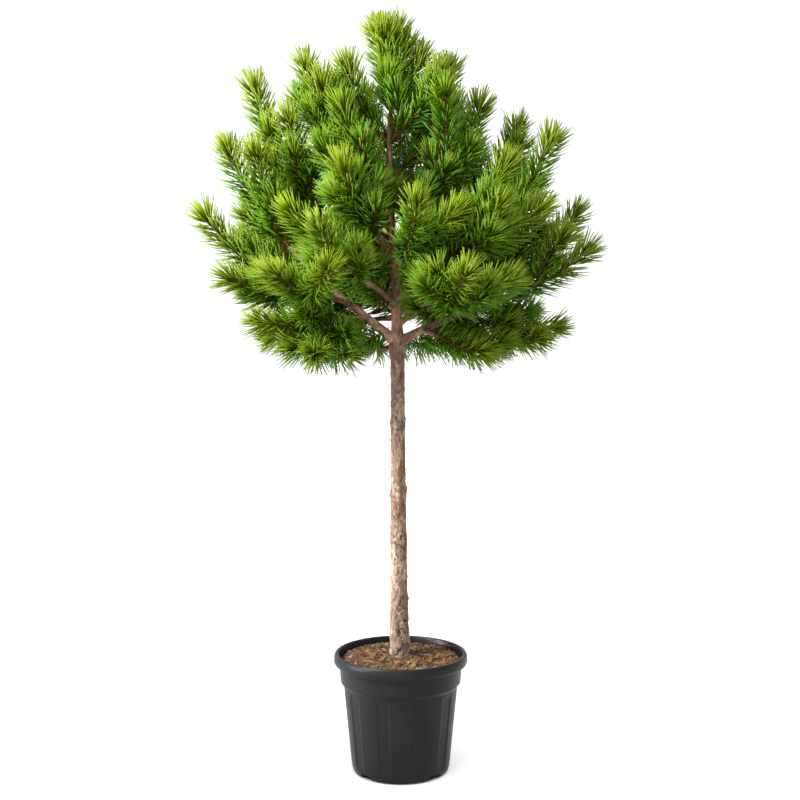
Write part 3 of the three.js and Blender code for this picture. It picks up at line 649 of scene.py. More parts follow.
def make_chips():
    """Small chips are many and large ones few: length = 5 mm / (1 - u)^0.48, up to 38 mm."""
    pieces = []
    for index, (tint, (_, _, share)) in enumerate(CHIP_TINTS.items()):
        random = np.random.default_rng(SEEDS["chips"] + index)
        count = int(CHIPS * share)
        length = CHIP["length"][0] / (1 - random.uniform(0, 1, count)) ** CHIP_POWER
        length = np.clip(length, *CHIP["length"])
        points = chip_points(random, count, length)
        faces = copied_faces(chip_faces(), CHIP_CORNERS, count)
        name = f"bark_chips_{tint}"
        pieces.append(add_piece(name, points, faces, CHIP_BARK[tint], "mulch", flat=True))
    return pieces


chips = make_chips()
print("chip triangles:", sum(map(triangles_in, chips)))

# %% [markdown]
# ## The plant's skeleton
# The plant grows here by the same rule as its solids: a swaying trunk, whorls of limbs that
# turn up into shoots, and side shoots dealt out by seeded tries that keep clear of what has
# already grown. Then the rule is carried on to finer twigs, which fill the crown from within.
# Everything is a path: a chain of evenly spaced points.

# %% Sizes of the plant
TRUNK = {
    "foot": 244, "fork": 906, "top": 1378, "foot_radius": 21.8, "flare_height": 95,
    "stem_radius": 18.2, "clear_radius": 13.6, "fork_swell": 3.4, "above_fork": 14,
    "top_radius": 4.6, "scars": (496, 596, 742), "scar_swell": 1.3, "scar_width": 13, "fork_width": 26,
    # how far its line goes to the left: at its foot, by its lean and by its sway in the crown
    "foot_left": 3, "lean": 4, "sway": 17, "sway_back": 5, "sway_top": 1330, "sway_end": 1420,
    # its wave from front to back: size and length
    "wave": 3, "wave_length": 160,
}
SHOOT = {
    # side shoots: between two shares of their stem, two shares of its length, and their tilt
    "side_from": 0.04, "side_to": 0.6, "side_short": 0.55, "side_long": 0.9, "side_tilt": 50,
    # lengths without needles, the least room round a side shoot, tries, and the wood's radius
    "side_bare": 14, "bare": 8, "clearance": 26, "tries": 40, "radius": 5,
}
CROWN = {
    # its axis, its foot, and how growth leans out there and stands up above
    "x": -12, "foot": 880, "foot_lean": 100, "lean_fade": 300,
    # how far inside its reach a side shoot ends, and the least reach that counts
    "inner": 0.9, "headroom": 50, "least": 60,
}
# height, and how far from the crown's axis the shoot ends reach there
CROWN_PROFILE = np.array(
    [
        (880, 120), (900, 265), (955, 330), (1094, 385), (1162, 385), (1300, 345), (1431, 292),
        (1474, 190), (1543, 40),
    ],
    float,
)
CLEAR = 0.3

# %% Limbs
# `source` is the limb one grows from; `at` is a height on the trunk or a share of that limb. The
# shoot at its end finishes at azimuth `az`, `reach` from the crown's axis and `top` above the
# floor. `rise` is the slope at the root, `bare` the length without needles, `thick` the radius
# at the root and `sides` the number of shoots that branch off.
LIMB_KEYS = ("name", "source", "at", "az", "reach", "top", "rise", "bare", "thick", "sides")
LIMB_ROWS = [
    # lowest whorl
    ("left", None, 912, 177, 343, 1300, 38, 300, 10.5, 1),
    ("right", None, 910, 354, 387, 1094, 30, 270, 9.6, 1),
    ("rear", None, 918, 92, 372, 1130, 33, 190, 8.8, 2),
    # side limbs of the lowest whorl
    ("left_outer", "left", 0.27, 183, 385, 1162, 2, 60, 5.5, 1),
    ("left_low", "left", 0.15, 205, 287, 955, 0, 80, 6, 0),
    ("front_left_low", "left", 0.24, 226, 318, 1045, 14, 80, 5.5, 1),
    ("right_mid", "right", 0.42, 8, 379, 1172, 34, 60, 5.5, 1),
    ("right_low", "right", 0.34, 3, 326, 940, -14, 50, 5.5, 1),
    ("right_front_low", "right", 0.14, 322, 216, 898, -10, 40, 5, 0),
    ("front_right_low", "right", 0.22, 294, 328, 1048, 18, 90, 5.5, 0),
    ("rear_left_low", "rear", 0.2, 134, 272, 930, 0, 70, 5.5, 1),
    ("rear_right_low", "rear", 0.3, 58, 290, 935, 0, 70, 5.5, 1),
    # second whorl
    ("right_upper", None, 946, 357, 318, 1318, 41, 250, 5.8, 1),
    ("right_high", None, 1012, 14, 262, 1352, 46, 190, 5.6, 1),
    ("rear_right", None, 968, 47, 385, 1182, 34, 140, 5.8, 2),
    ("left_upper", None, 976, 173, 292, 1431, 42, 240, 5.8, 0),
    ("rear_left", None, 1000, 140, 385, 1200, 30, 130, 5.8, 2),
    ("front_left", None, 985, 246, 328, 1128, 28, 170, 5.4, 1),
    ("front_right", None, 1020, 279, 268, 1176, 36, 130, 5.3, 0),
    ("right_front", None, 1000, 314, 284, 1176, 34, 130, 5.4, 2),
    # third whorl
    ("front_left_upper", None, 1075, 244, 217, 1250, 38, 90, 5.2, 1),
    ("left_top", None, 1100, 172, 185, 1474, 48, 170, 5.4, 2),
    ("right_top", None, 1120, 359, 171, 1386, 46, 110, 5.3, 1),
    ("rear_upper_left", None, 1130, 118, 262, 1392, 44, 140, 5.4, 1),
    ("rear_upper_right", None, 1112, 62, 280, 1352, 42, 150, 5.4, 1),
]
# shoots that leave the trunk directly
TRUNK_ROWS = [
    ("rear_low", None, 897, 146, 158, 898, 0, 58, 0, 0),
    ("upper_front_left", None, 1206, 228, 150, 1371, 36, 34, 0, 0),
    ("upper_right", None, 1240, 32, 133, 1472, 50, 34, 0, 0),
    ("top_left", None, 1316, 205, 103, 1459, 48, 28, 0, 0),
    ("top_right", None, 1322, 330, 101, 1449, 46, 28, 0, 0),
]
LIMBS = [dict(zip(LIMB_KEYS, row)) for row in LIMB_ROWS]
TRUNK_SHOOTS = [dict(zip(LIMB_KEYS, row)) for row in TRUNK_ROWS]
LEADER = dict(name="leader", az=0, reach=5, top=1541, sides=2)
# one more side shoot, given one by one, on the shoots of these limbs
SET_SIDES = {
    "left_outer": dict(share=0.08, turn=315, length=165, tilt=30),
    "left_low": dict(share=0.1, turn=308, length=165, tilt=58),
    "right_mid": dict(share=0.05, turn=130, length=150),
    "right_low": dict(share=0.15, turn=215, length=115),
    "front_right_low": dict(share=0.15, turn=8, length=150),
    "rear_left_low": dict(share=0.05, turn=75, length=130, tilt=65),
    "left_upper": dict(share=0.1, turn=35, length=205, tilt=42),
    "front_right": dict(share=0.12, turn=20, length=135),
    "leader": dict(share=0.22, turn=95, length=122, tilt=12),
}
print("limbs:", len(LIMBS), "shoots on the trunk:", len(TRUNK_SHOOTS))


# %% Seeded numbers and directions
def seeded(seed):
    """The same numbers from 0 to 1 as the solids use: a 32-bit counter, mixed by products."""
    mask = 0xFFFFFFFF
    state = seed & mask

    def draw():
        nonlocal state
        state = (state + 0x6D2B79F5) & mask
        t = ((state ^ (state >> 15)) * (state | 1)) & mask
        t = ((t + (((t ^ (t >> 7)) * (t | 61)) & mask)) & mask) ^ t
        return (t ^ (t >> 14)) / 4294967296

    return draw


def level(azimuth):
    """The level direction at an azimuth in degrees, from +X towards +Y."""
    return np.array([math.cos(math.radians(azimuth)), math.sin(math.radians(azimuth)), 0.0])


def unit(vectors):
    """Each vector divided by its length."""
    return vectors / np.linalg.norm(vectors, axis=-1, keepdims=True)


print("first seeded number:", round(seeded(100)(), 6))


# %% Trunk line and thickness
def trunk_axis(z):
    """The stem leans slightly to the left, sways further left through the crown, comes back,
    and waves a little from front to back: y = 3 sin(z / 160)."""
    z = np.asarray(z, float)
    share = np.clip((z - TRUNK["foot"]) / (TRUNK["fork"] - TRUNK["foot"]), 0, 1)
    sway = TRUNK["sway"] * smooth(z, TRUNK["fork"] - 20, TRUNK["sway_top"])
    sway = sway - TRUNK["sway_back"] * smooth(z, TRUNK["sway_top"], TRUNK["sway_end"])
    x = -TRUNK["foot_left"] - TRUNK["lean"] * share - sway
    return np.stack([x, TRUNK["wave"] * np.sin(z / TRUNK["wave_length"]), z], -1)


def trunk_radius(z):
    """A taper of power 0.7 up to the fork and 0.5 above it, plus a root flare that falls off
    exponentially, a bell at each old whorl and a wider bell at the fork."""
    z = np.asarray(z, float)
    falling = np.exp(-(z - TRUNK["foot"]) / TRUNK["flare_height"])
    flare = (TRUNK["foot_radius"] - TRUNK["stem_radius"]) * falling
    scars = sum(TRUNK["scar_swell"] * bump(z, at, TRUNK["scar_width"]) for at in TRUNK["scars"])
    low = np.clip((z - TRUNK["foot"]) / (TRUNK["fork"] - TRUNK["foot"]), 0, 1)
    high = np.clip((z - TRUNK["fork"]) / (TRUNK["top"] - TRUNK["fork"]), 0, 1)
    at_fork = bump(z, TRUNK["fork"], TRUNK["fork_width"])
    below = mix(TRUNK["stem_radius"], TRUNK["clear_radius"], low**0.7) + flare + scars
    above = mix(TRUNK["above_fork"], TRUNK["top_radius"], high**0.5)
    extra = TRUNK["clear_radius"] + TRUNK["fork_swell"] - TRUNK["above_fork"]
    return np.where(z <= TRUNK["fork"], below + TRUNK["fork_swell"] * at_fork, above + extra * at_fork)


print("stem radius at the foot, fork and top:", np.round(trunk_radius([244, 906, 1378]), 1))


# %% Paths
def point_along(points, share):
    """Points a share (or an array of shares) of the way along an evenly spaced chain."""
    place = np.clip(share, 0, 1) * (len(points) - 1)
    index = np.arange(len(points))
    return np.stack([np.interp(place, index, points[:, axis]) for axis in range(3)], -1)


def direction_along(points, share):
    """The direction there, taken over one spacing."""
    half = 0.5 / (len(points) - 1)
    ahead = point_along(points, np.asarray(share) + half)
    return unit(ahead - point_along(points, np.asarray(share) - half))


def path_of(point_at, count):
    """A curve over 0 to 1, as `count` + 1 evenly spaced points, with its length."""
    raw = point_at(np.linspace(0, 1, 65))
    runs = np.append(0, np.cumsum(np.linalg.norm(np.diff(raw, axis=0), axis=1)))
    wanted = np.linspace(0, runs[-1], count + 1)
    points = np.stack([np.interp(wanted, runs, raw[:, axis]) for axis in range(3)], -1)
    return {"points": points, "length": runs[-1]}


def part_of(path, start, end, count):
    """The part of a path from one distance along it to another."""
    share = np.linspace(start, end, count + 1) / path["length"]
    return {"points": point_along(path["points"], share), "length": end - start}


def bezier(corners):
    """The curve through weighted corners: neighbours are mixed by t until one point is left."""

    def point_at(t):
        left = [np.broadcast_to(corner, (len(t), 3)) for corner in corners]
        while len(left) > 1:
            left = [mix(a, b, t[:, None]) for a, b in zip(left, left[1:])]
        return left[0]

    return point_at


def leaning(out, z):
    """The direction of growth at height z: low shoots lean out, high ones stand. The lean is
    100 degrees at the crown's foot and falls to about a third every 300 mm."""
    lean = math.radians(CROWN["foot_lean"] * math.exp((CROWN["foot"] - z) / CROWN["lean_fade"]))
    return out * math.sin(lean) + UP * math.cos(lean)


print("lean at 1100 mm:", np.round(leaning(level(0), 1100), 2))


# %% Limb and shoot paths
# shares of a limb's span and of a side shoot's length at which the corners of its curve stand
LIMB_ROOT = 0.42
LIMB_END = 0.36
SIDE_ROOT = 0.45


def row_end(row):
    """Where the shoot at a row's end finishes."""
    end = level(row["az"]) * row["reach"]
    return np.array([end[0] + CROWN["x"], end[1], row["top"]])


def limb_path(row, start):
    """A limb leaves `start` at its own slope and turns up into its shoot's lean."""
    end = row_end(row)
    out = end - start
    span = np.linalg.norm(out)
    out = unit(out * [1, 1, 0])
    rise = math.radians(row["rise"])
    root = out * math.cos(rise) + UP * math.sin(rise)
    before_end = end - leaning(level(row["az"]), row["top"]) * span * LIMB_END
    return path_of(bezier([start, start + root * span * LIMB_ROOT, before_end, end]), 48)


def side_path(stem, share, turn, length, tilt=SHOOT["side_tilt"]):
    """A side shoot leaves its stem at a tilt and turns up into the lean at its own height. A
    turn of 0 is to the left of the stem's heading, 90 above it and 180 to its right."""
    start = point_along(stem["path"]["points"], share)
    along = direction_along(stem["path"]["points"], share)
    across = level(stem["heading"] + 90)
    across = unit(across - along * (across @ along))
    above = np.cross(along, across)
    tilt, turn = math.radians(tilt), math.radians(turn)
    first = along * math.cos(tilt) + math.sin(tilt) * (across * math.cos(turn) + above * math.sin(turn))
    middle = start + first * length * SIDE_ROOT
    out = unit(first * [1, 1, 0])
    end = middle + leaning(out, middle[2]) * length * (1 - SIDE_ROOT)
    return path_of(bezier([start, middle, end]), 8)


def distances_to_chains(points, chains):
    """For each point the least distance to any chain: each segment's nearest point is where the
    projection, held between its ends, falls."""
    a = np.concatenate([chain[:-1] for chain in chains])
    step = np.concatenate([np.diff(chain, axis=0) for chain in chains])
    to_point = points[:, None, :] - a[None]
    t = np.clip((to_point * step).sum(-1) / (step * step).sum(-1), 0, 1)
    return np.linalg.norm(to_point - t[..., None] * step, axis=-1).min(1)


def crown_reach(z):
    """The reach of the shoot ends at height z."""
    return np.interp(z, CROWN_PROFILE[:, 0], CROWN_PROFILE[:, 1], left=0, right=0)


def inside_crown(tip, rule):
    """True where a tip stays within `inner` of the reach that the crown has `headroom` above it."""
    reach = math.hypot(tip[0] - CROWN["x"], tip[1])
    return reach < rule["inner"] * crown_reach(tip[2] + rule["headroom"])


def roomiest(tries, least, chains, skip):
    """Of several tries, the path with most room round it past its first `skip` points, or None
    where no try has more than `least`."""
    best_room, best = least, None
    for path in tries:
        room = distances_to_chains(path["points"][skip:], chains).min()
        if room > best_room:
            best_room, best = room, path
    return best


print("crown reach at 1100 mm:", crown_reach(1100))


# %% Grow limbs, stems and side shoots
def side_tries(stem, draw):
    """Seeded side shoots of a stem that end inside the crown."""
    for _ in range(SHOOT["tries"]):
        share = mix(SHOOT["side_from"], SHOOT["side_to"], draw())
        length = stem["path"]["length"] * mix(SHOOT["side_short"], SHOOT["side_long"], draw())
        path = side_path(stem, share, 360 * draw(), length)
        if inside_crown(path["points"][-1], CROWN):
            yield path


def grow_frame():
    """Returns the limbs, which are bare, and the shoots, which bear needles. Each side shoot is
    the one of several seeded tries with most room round it."""
    limbs, shoots, stems, wholes = [], [], [], {}

    def add_shoot(row, path, bare, radius=SHOOT["radius"], order=1):
        """`order` is 0 for a limb's own shoot and 1 for a side shoot."""
        shoots.append(
            dict(mass=row["name"], heading=row["az"], path=path, bare=bare, root=radius, order=order)
        )
        return shoots[-1]

    for row in LIMBS:
        source = row["source"]
        start = point_along(wholes[source]["points"], row["at"]) if source else trunk_axis(row["at"])
        whole = wholes[row["name"]] = limb_path(row, start)
        bare_part = part_of(whole, 0, row["bare"], 10)
        limbs.append(dict(name=row["name"], row=row, heading=row["az"], path=bare_part))
        stem = part_of(whole, row["bare"] + CLEAR, whole["length"], 10)
        stems.append((row, add_shoot(row, stem, SHOOT["bare"], order=0)))
    for row in TRUNK_SHOOTS:
        whole = limb_path(row, trunk_axis(row["at"]))
        stem = part_of(whole, 0, whole["length"], 10)
        stems.append((row, add_shoot(row, stem, row["bare"], order=0)))
    foot = trunk_axis(TRUNK["top"] + CLEAR)
    leader = path_of(bezier([foot, foot + UP * 80, row_end(LEADER)]), 10)
    stems.append((LEADER, add_shoot(LEADER, leader, SHOOT["bare"], TRUNK["top_radius"], 0)))
    trunk = path_of(lambda t: trunk_axis(mix(TRUNK["foot"], TRUNK["top"], t)), 24)
    limbs.append(dict(name="trunk", heading=0, path=trunk))
    for number, (row, stem) in enumerate(stems):
        draw = seeded(SEEDS["side_shoots"] + number)
        if row["name"] in SET_SIDES:
            add_shoot(row, side_path(stem, **SET_SIDES[row["name"]]), SHOOT["side_bare"])
        for _ in range(row["sides"]):
            chains = [each["path"]["points"] for each in shoots + limbs]
            best = roomiest(side_tries(stem, draw), SHOOT["clearance"], chains, 3)
            if best:
                add_shoot(row, best, SHOOT["side_bare"])
    return limbs, shoots


limbs, shoots = grow_frame()
print("limbs:", len(limbs), "shoots:", len(shoots))

# %% [markdown]
# ## Finer twigs
# Between its long shoots a pine carries short twigs, which is why no sky shows through the
# middle of the crown. They follow the side shoots' rule one step further: every so often along
# a shoot, along a limb past its first third and up the trunk inside the crown, the roomiest of a
# few seeded tries becomes a twig, if it keeps clear of what has grown and stays within the
# reach. The stem and the main boughs stay open to the front, as on a plant cleaned for sale.

# %% Grow twigs
TWIG = {
    # one for so many mm of stem, between two lengths, at a tilt, and bare at the foot
    "every": 38, "short": 42, "long": 86, "tilt": 46, "bare": 6, "radius": 2.4,
    # tries, the least room round it, and how far inside the crown's reach it ends
    "tries": 9, "clearance": 18, "inner": 0.82, "headroom": 45,
    # how near it may come to the line of these limbs in front of them, up to a height
    "open": {"trunk": 30, "left": 28, "right": 20}, "open_to": 1150,
    # where the upper crown starts, at its axis and outside, and how twigs gather round its shoots
    "gather_from": (1230, 1080), "gather": 36, "below": 30,
}
# twigs set one by one, by limb, share of it, turn, length and tilt: they hang under the lowest
# boughs, stand on the bare feet of the left ones, and make the leader a broad column
SET_TWIGS = [
    ("right", 0.1, 318, 70, 84), ("right", 0.17, 300, 84, 72), ("right", 0.26, 322, 86, 66),
    ("right", 0.36, 296, 80, 70), ("left", 0.12, 318, 66, 84), ("left", 0.24, 296, 76, 70),
    ("rear", 0.16, 262, 80, 78), ("left_upper", 0.08, 0, 60, 60), ("left_upper", 0.24, 24, 60, 40),
    ("left_upper", 0.24, 48, 76, 60), ("leader", 0.48, 60, 84, 18), ("leader", 0.42, 135, 88, 18),
    ("leader", 0.3, 250, 84, 24),
]
# the shares between which a stem bears seeded twigs
TWIGS_ON = {"shoot": (0.05, 0.72), "limb": (0.3, 0.97), "trunk": (0.68, 0.99)}


def hides_wood(points):
    """True where a twig would hang in front of the stem or of a main bough: seen from the front,
    its outer part comes nearer the limb's line than `open`, and it stands further forward."""
    for limb in limbs:
        if limb["name"] not in TWIG["open"]:
            continue
        chain = limb["path"]["points"]
        chain = chain[(chain[:, 2] > CROWN["foot"]) & (chain[:, 2] < TWIG["open_to"])]
        flat = distances_to_chains(points * [1, 0, 1], [chain * [1, 0, 1]])
        if flat.min() < TWIG["open"][limb["name"]] and points[flat.argmin(), 1] < chain[:, 1].mean():
            return True
    return False


def leaves_brush(tip, stem):
    """True where a twig in the upper crown would fill the sky between two shoots: it ends further
    than `gather` from all of them, or less than `below` under the end of the one that bears it.
    The upper crown starts at a height that falls from the axis to the outside."""
    outward = math.hypot(tip[0] - CROWN["x"], tip[1]) / max(crown_reach(tip[2]), CROWN["least"])
    if tip[2] < mix(*TWIG["gather_from"], smooth(outward, 0.3, 0.7)):
        return False
    if tip[2] > stem["path"]["points"][-1, 2] - TWIG["below"]:
        return True
    nearest = distances_to_chains(tip[None], [shoot["path"]["points"] for shoot in shoots])[0]
    return nearest > TWIG["gather"]


def twig(stem, path):
    """A twig is a shoot of the third order, with its stem's heading."""
    return dict(
        mass="twigs", heading=stem["heading"], path=path, bare=TWIG["bare"], root=TWIG["radius"], order=2
    )


def twig_tries(stem, start, end, draw):
    """Seeded twigs that end inside the crown and leave both the wood and the sky in sight."""
    for _ in range(TWIG["tries"]):
        share = mix(start, end, draw())
        turn = 360 * draw()
        path = side_path(stem, share, turn, mix(TWIG["short"], TWIG["long"], draw()), TWIG["tilt"])
        tip = path["points"][-1]
        if not inside_crown(tip, TWIG):
            continue
        if not hides_wood(path["points"][3:]) and not leaves_brush(tip, stem):
            yield path


def grow_twigs():
    """The set twigs come first, then seeded ones along every shoot, every limb and the trunk."""
    grown = [each["path"]["points"] for each in shoots + limbs]
    named = {limb["name"]: limb for limb in limbs}
    named["leader"] = next(shoot for shoot in shoots if shoot["mass"] == "leader")
    twigs = []

    def keep(stem, path):
        """The next twigs keep clear of this one too."""
        twigs.append(twig(stem, path))
        grown.append(path["points"])

    def add_twigs(stem, kind, seed):
        """One twig for every `every` mm of the stem's bearing part, if a try finds room."""
        draw = seeded(seed)
        start, end = TWIGS_ON[kind]
        for _ in range(round(stem["path"]["length"] * (end - start) / TWIG["every"])):
            best = roomiest(twig_tries(stem, start, end, draw), TWIG["clearance"], grown, 4)
            if best:
                keep(stem, best)

    for name, share, turn, length, tilt in SET_TWIGS:
        keep(named[name], side_path(named[name], share, turn, length, tilt))
    for number, shoot in enumerate(shoots):
        add_twigs(shoot, "shoot", SEEDS["shoot_twigs"] + number)
    for number, limb in enumerate(limbs[:-1]):
        add_twigs(limb, "limb", SEEDS["limb_twigs"] + number)
    for seed in SEEDS["trunk_twigs"]:
        add_twigs(limbs[-1], "trunk", seed)
    return twigs


twigs = grow_twigs()
print("twigs:", len(twigs), "metres of twig:", round(sum(t["path"]["length"] for t in twigs) / 1000, 1))

# %% [markdown]
# ## Bark
# The stem's bark is a surface round the trunk's line. Its radius is the trunk's, plus relief:
# ragged plates from a cell pattern stand 1 to 2 mm over the cracks between them, and young wood
# has only faint rings and small scales. The same numbers are stored as attributes, so that the
# colours of plates and seams fall exactly on their shapes. Boughs are made the same way.

# %% Bark relief
PLATE_LENGTH = 20
PLATES_ROUND = {"trunk": 11, "bough": 5}


def bark_relief(turn, distance, girth_cells, age, rough, peel, key):
    """Height over the plain surface in mm, plate tone and seam, for points at a share `turn`
    round the stem and `distance` mm along it. Both coordinates are bent by smooth noise before
    the cells are looked up, so that plates are ragged; old bark has plates about 10 by 20 mm,
    scales a third of that size, and bare patches with a dark edge where a plate has come off.
    Seams are open only here and there, more so and bent less where `rough` is high, and bare
    patches show as far as `peel` says."""
    u, v = turn * girth_cells, distance / PLATE_LENGTH

    def noise(across, along, layer, shift_u=0.0, shift_v=0.0):
        """Smooth noise with so many waves across and along a plate, closing round the stem."""
        return waves(across * u + shift_u, along * v + shift_v, across * girth_cells, key + layer)

    bend = 0.4 - 0.12 * smooth(rough, 0.45, 0.6)
    bent_u = u + bend * noise(2, 3, 0) + 0.4 * bend * noise(6, 8, 1)
    bent_v = v + bend * noise(2, 2, 5, shift_u=0.5) + 0.4 * bend * noise(6, 8, 6, shift_v=0.5)
    gap, tone = cells(bent_u, bent_v, girth_cells, key + 10)
    fine_gap, fine_tone = cells(3 * bent_u, 4 * bent_v, 3 * girth_cells, key + 20)
    open_here = smooth(noise(2, 2, 25, shift_u=0.3) + rough, 0, 0.35)
    plate = 1 - (1 - smooth(gap, 0.04, 0.2)) * open_here
    scale = 1 - (1 - smooth(fine_gap, 0, 0.22)) * (1 - 0.6 * open_here)
    patch = waves(2 * bent_u, 1.9 * bent_v + 0.2, 2 * girth_cells, key + 50)
    bare = smooth(patch, 0.36, 0.43) * age * peel
    edge = bump(patch, 0.36, 0.06) * open_here * age * mix(0.2, 1, peel)
    spots = smooth(noise(7, 5, 60), 0.82, 0.94) * peel
    rings = waves(0 * u, distance / 3.2, 1, key + 30) * waves(u, distance / 9, girth_cells, key + 31)
    old = plate * (0.7 + 1.1 * tone) + 0.6 * scale * (0.3 + fine_tone) - 0.6 * bare - 0.9
    young = 0.25 * scale + 0.3 * rings - 0.1
    height = mix(young, old, age) - 0.5 * edge
    broad, streak = noise(1, 0.4, 40), noise(8, 1.5, 45)
    colour = 0.14 + 0.34 * tone + 0.2 * fine_tone + 0.12 * broad + 0.12 * streak
    colour = colour - 0.34 * bare + 0.16 * rings * (1 - age)
    seam = mix(0.5 + 0.5 * scale, plate * (0.55 + 0.45 * scale), age)
    return height, colour, seam * (1 - 0.9 * edge) * (1 - 0.85 * spots)


def closed(rings, first, last):
    """The rings of a tube with one more at each end, drawn together in a point."""
    ends = [np.broadcast_to(point, (1, *rings.shape[1:])) for point in (first, last)]
    return np.concatenate([ends[0], rings, ends[1]])


def end_rows(**layers):
    """Each array with its first and last row once more, for the rings that close the ends."""
    return {key: np.pad(values, ((1, 1), (0, 0)), "edge").ravel() for key, values in layers.items()}


def together(parts):
    """Several dicts of arrays as one dict, with each key's arrays end to end."""
    return {key: np.concatenate([part[key] for part in parts]) for key in parts[0]}


print("bark plates round the stem:", PLATES_ROUND["trunk"])

# %% Stubs, creases and the stem's bark
STUBS_A_WHORL = 4
STUBS_ELSEWHERE = 84
# heights between which the bark changes on its way up the stem
BARK_CHANGES = {
    "smoother": (330, 640), "greyer": (330, 560), "flatter": (400, 760), "peeling": (430, 600),
    "young": (800, 1060),
}


def knobs(turn, z):
    """Stubs of old side shoots: bells 2.6 to 4 mm high, four in each old whorl, and small ones of
    1.2 to 2.8 mm dealt out by seed over the stem. Also the creases under the whorls: an arc of
    a dark line, 13 mm below each, that wanders by 5 mm and covers about half the girth."""
    random = np.random.default_rng(SEEDS["stubs"])
    whorls = [
        (random.random(), scar + random.normal(0, 4), random.uniform(2.6, 4))
        for scar in TRUNK["scars"]
        for _ in range(STUBS_A_WHORL)
    ]
    elsewhere = [
        (random.random(), random.uniform(TRUNK["foot"] + 50, TRUNK["fork"]), random.uniform(1.2, 2.8))
        for _ in range(STUBS_ELSEWHERE)
    ]
    height = 0 * (turn + z)
    for at_turn, at_height, size in whorls + elsewhere:
        around = ((turn - at_turn + 0.5) % 1 - 0.5) * TURN * trunk_radius(at_height)
        away = np.hypot(around, 0.8 * (z - at_height))
        height = np.maximum(height, size * bump(away, 0, 1.6 + 0.7 * size))
    line = z + 5 * waves(3 * turn, z / 40, 3, 70) + 2 * waves(9 * turn, z / 40, 9, 72)
    crease = sum(bump(line, scar - 13, 1.5) for scar in TRUNK["scars"])
    return height, np.minimum(crease, 1) * smooth(waves(3 * turn, z / 60, 3, 71), -0.3, 0.1)


def make_trunk(rows=1000, columns=96):
    """Rings level at every height; the radius has three low lobes at the root flare, and both ends
    close on the axis. Bark is old to 800 mm up and young from 1060 mm, and its relief is half as
    high again up to 400 mm, less and less so to 760 mm."""
    z = np.linspace(TRUNK["foot"], TRUNK["top"] + 2, rows)[:, None]
    turn = np.arange(columns) / columns + 0 * z
    so_far = {change: smooth(z, *span) + 0 * turn for change, span in BARK_CHANGES.items()}
    age = 1 - so_far["young"]
    rough = 0.6 - 0.15 * so_far["smoother"]
    peel = 0.3 + 0.7 * so_far["peeling"]
    distance = z - TRUNK["foot"] + 0 * turn
    height, plate, seam = bark_relief(turn, distance, PLATES_ROUND["trunk"], age, rough, peel, 1)
    stubs, creases = knobs(turn, z)
    plate = plate - 0.3 * bump(z, TRUNK["fork"] - 28, 9) + 0.06 * (1 - so_far["greyer"])
    height = height * (1.5 - 0.5 * so_far["flatter"]) + stubs - creases
    seam = seam * (1 - 0.6 * creases) * (1 - 0.5 * smooth(stubs, 0.8, 2.4))
    lobes = 1 + 0.07 * np.exp(-(z - TRUNK["foot"]) / TRUNK["flare_height"]) * np.cos(3 * TURN * turn)
    shrink = trunk_radius(z) / TRUNK["foot_radius"]
    radius = trunk_radius(z) * lobes + height * np.clip(shrink * 1.15, 0.3, 1)
    out = np.stack([np.cos(TURN * turn), np.sin(TURN * turn), 0 * turn], -1)
    rings = trunk_axis(z) + radius[..., None] * out
    points = closed(rings, trunk_axis(TRUNK["foot"]), trunk_axis(TRUNK["top"] + 4))
    layers = end_rows(plate=plate, seam=seam, age=age)
    faces = grid_faces(rows + 2, columns)
    trunk = add_piece("stem_bark", points, faces, PINE_BARK, "bark", weld=True, **layers)
    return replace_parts(trunk, "trunk")


stem_bark = make_trunk()
print("stem bark triangles:", triangles_in(stem_bark))


# %% Frames along a path
def frames_along(path, shares):
    """Centre, direction and two axes across at each share. The first axis is carried along
    the path and made square to it again at every step, so that nothing twists."""
    points = path["points"]
    steps = np.linspace(0, 1, len(points))
    directions = direction_along(points, steps)
    axis = np.array([0.0, 1.0, 0.0])
    carried = []
    for direction in directions:
        axis = unit(axis - direction * (axis @ direction))
        carried.append(axis)
    carried = np.array(carried)
    along = direction_along(points, shares)
    u = np.stack([np.interp(shares, steps, carried[:, k]) for k in range(3)], -1)
    u = unit(u - along * (u * along).sum(-1, keepdims=True))
    return point_along(points, shares), along, u, np.cross(along, u)


def tube_points(path, shares, radii, columns):
    """Rings of `columns` points: centre + radius (u cos a + v sin a). `radii` is (rows, 1) or
    (rows, columns). Both ends close on the path."""
    centre, _, u, v = frames_along(path, shares)
    angle = np.arange(columns) * TURN / columns
    ring = u[:, None] * np.cos(angle)[None, :, None] + v[:, None] * np.sin(angle)[None, :, None]
    points = centre[:, None] + np.broadcast_to(radii, ring.shape[:2])[..., None] * ring
    return closed(points, centre[0], centre[-1])


print("frames at the middle of the first limb:", np.round(frames_along(limbs[0]["path"], [0.5])[1], 2))

# %% Boughs
SEED_STEP = 7
THICK_LIMB = 8
# the age of the bark and the columns of the tube, for a thick and for a thin limb
THICK_BARK = (0.45, 30)
THIN_BARK = (0.12, 20)


def limb_radius(row, share, length):
    """An even taper of power 0.85 to the shoot's own radius, with a collar at the root."""
    body = mix(row["thick"], SHOOT["radius"], share**0.85)
    return body + 0.22 * row["thick"] * bump(share * length, 12, 14)


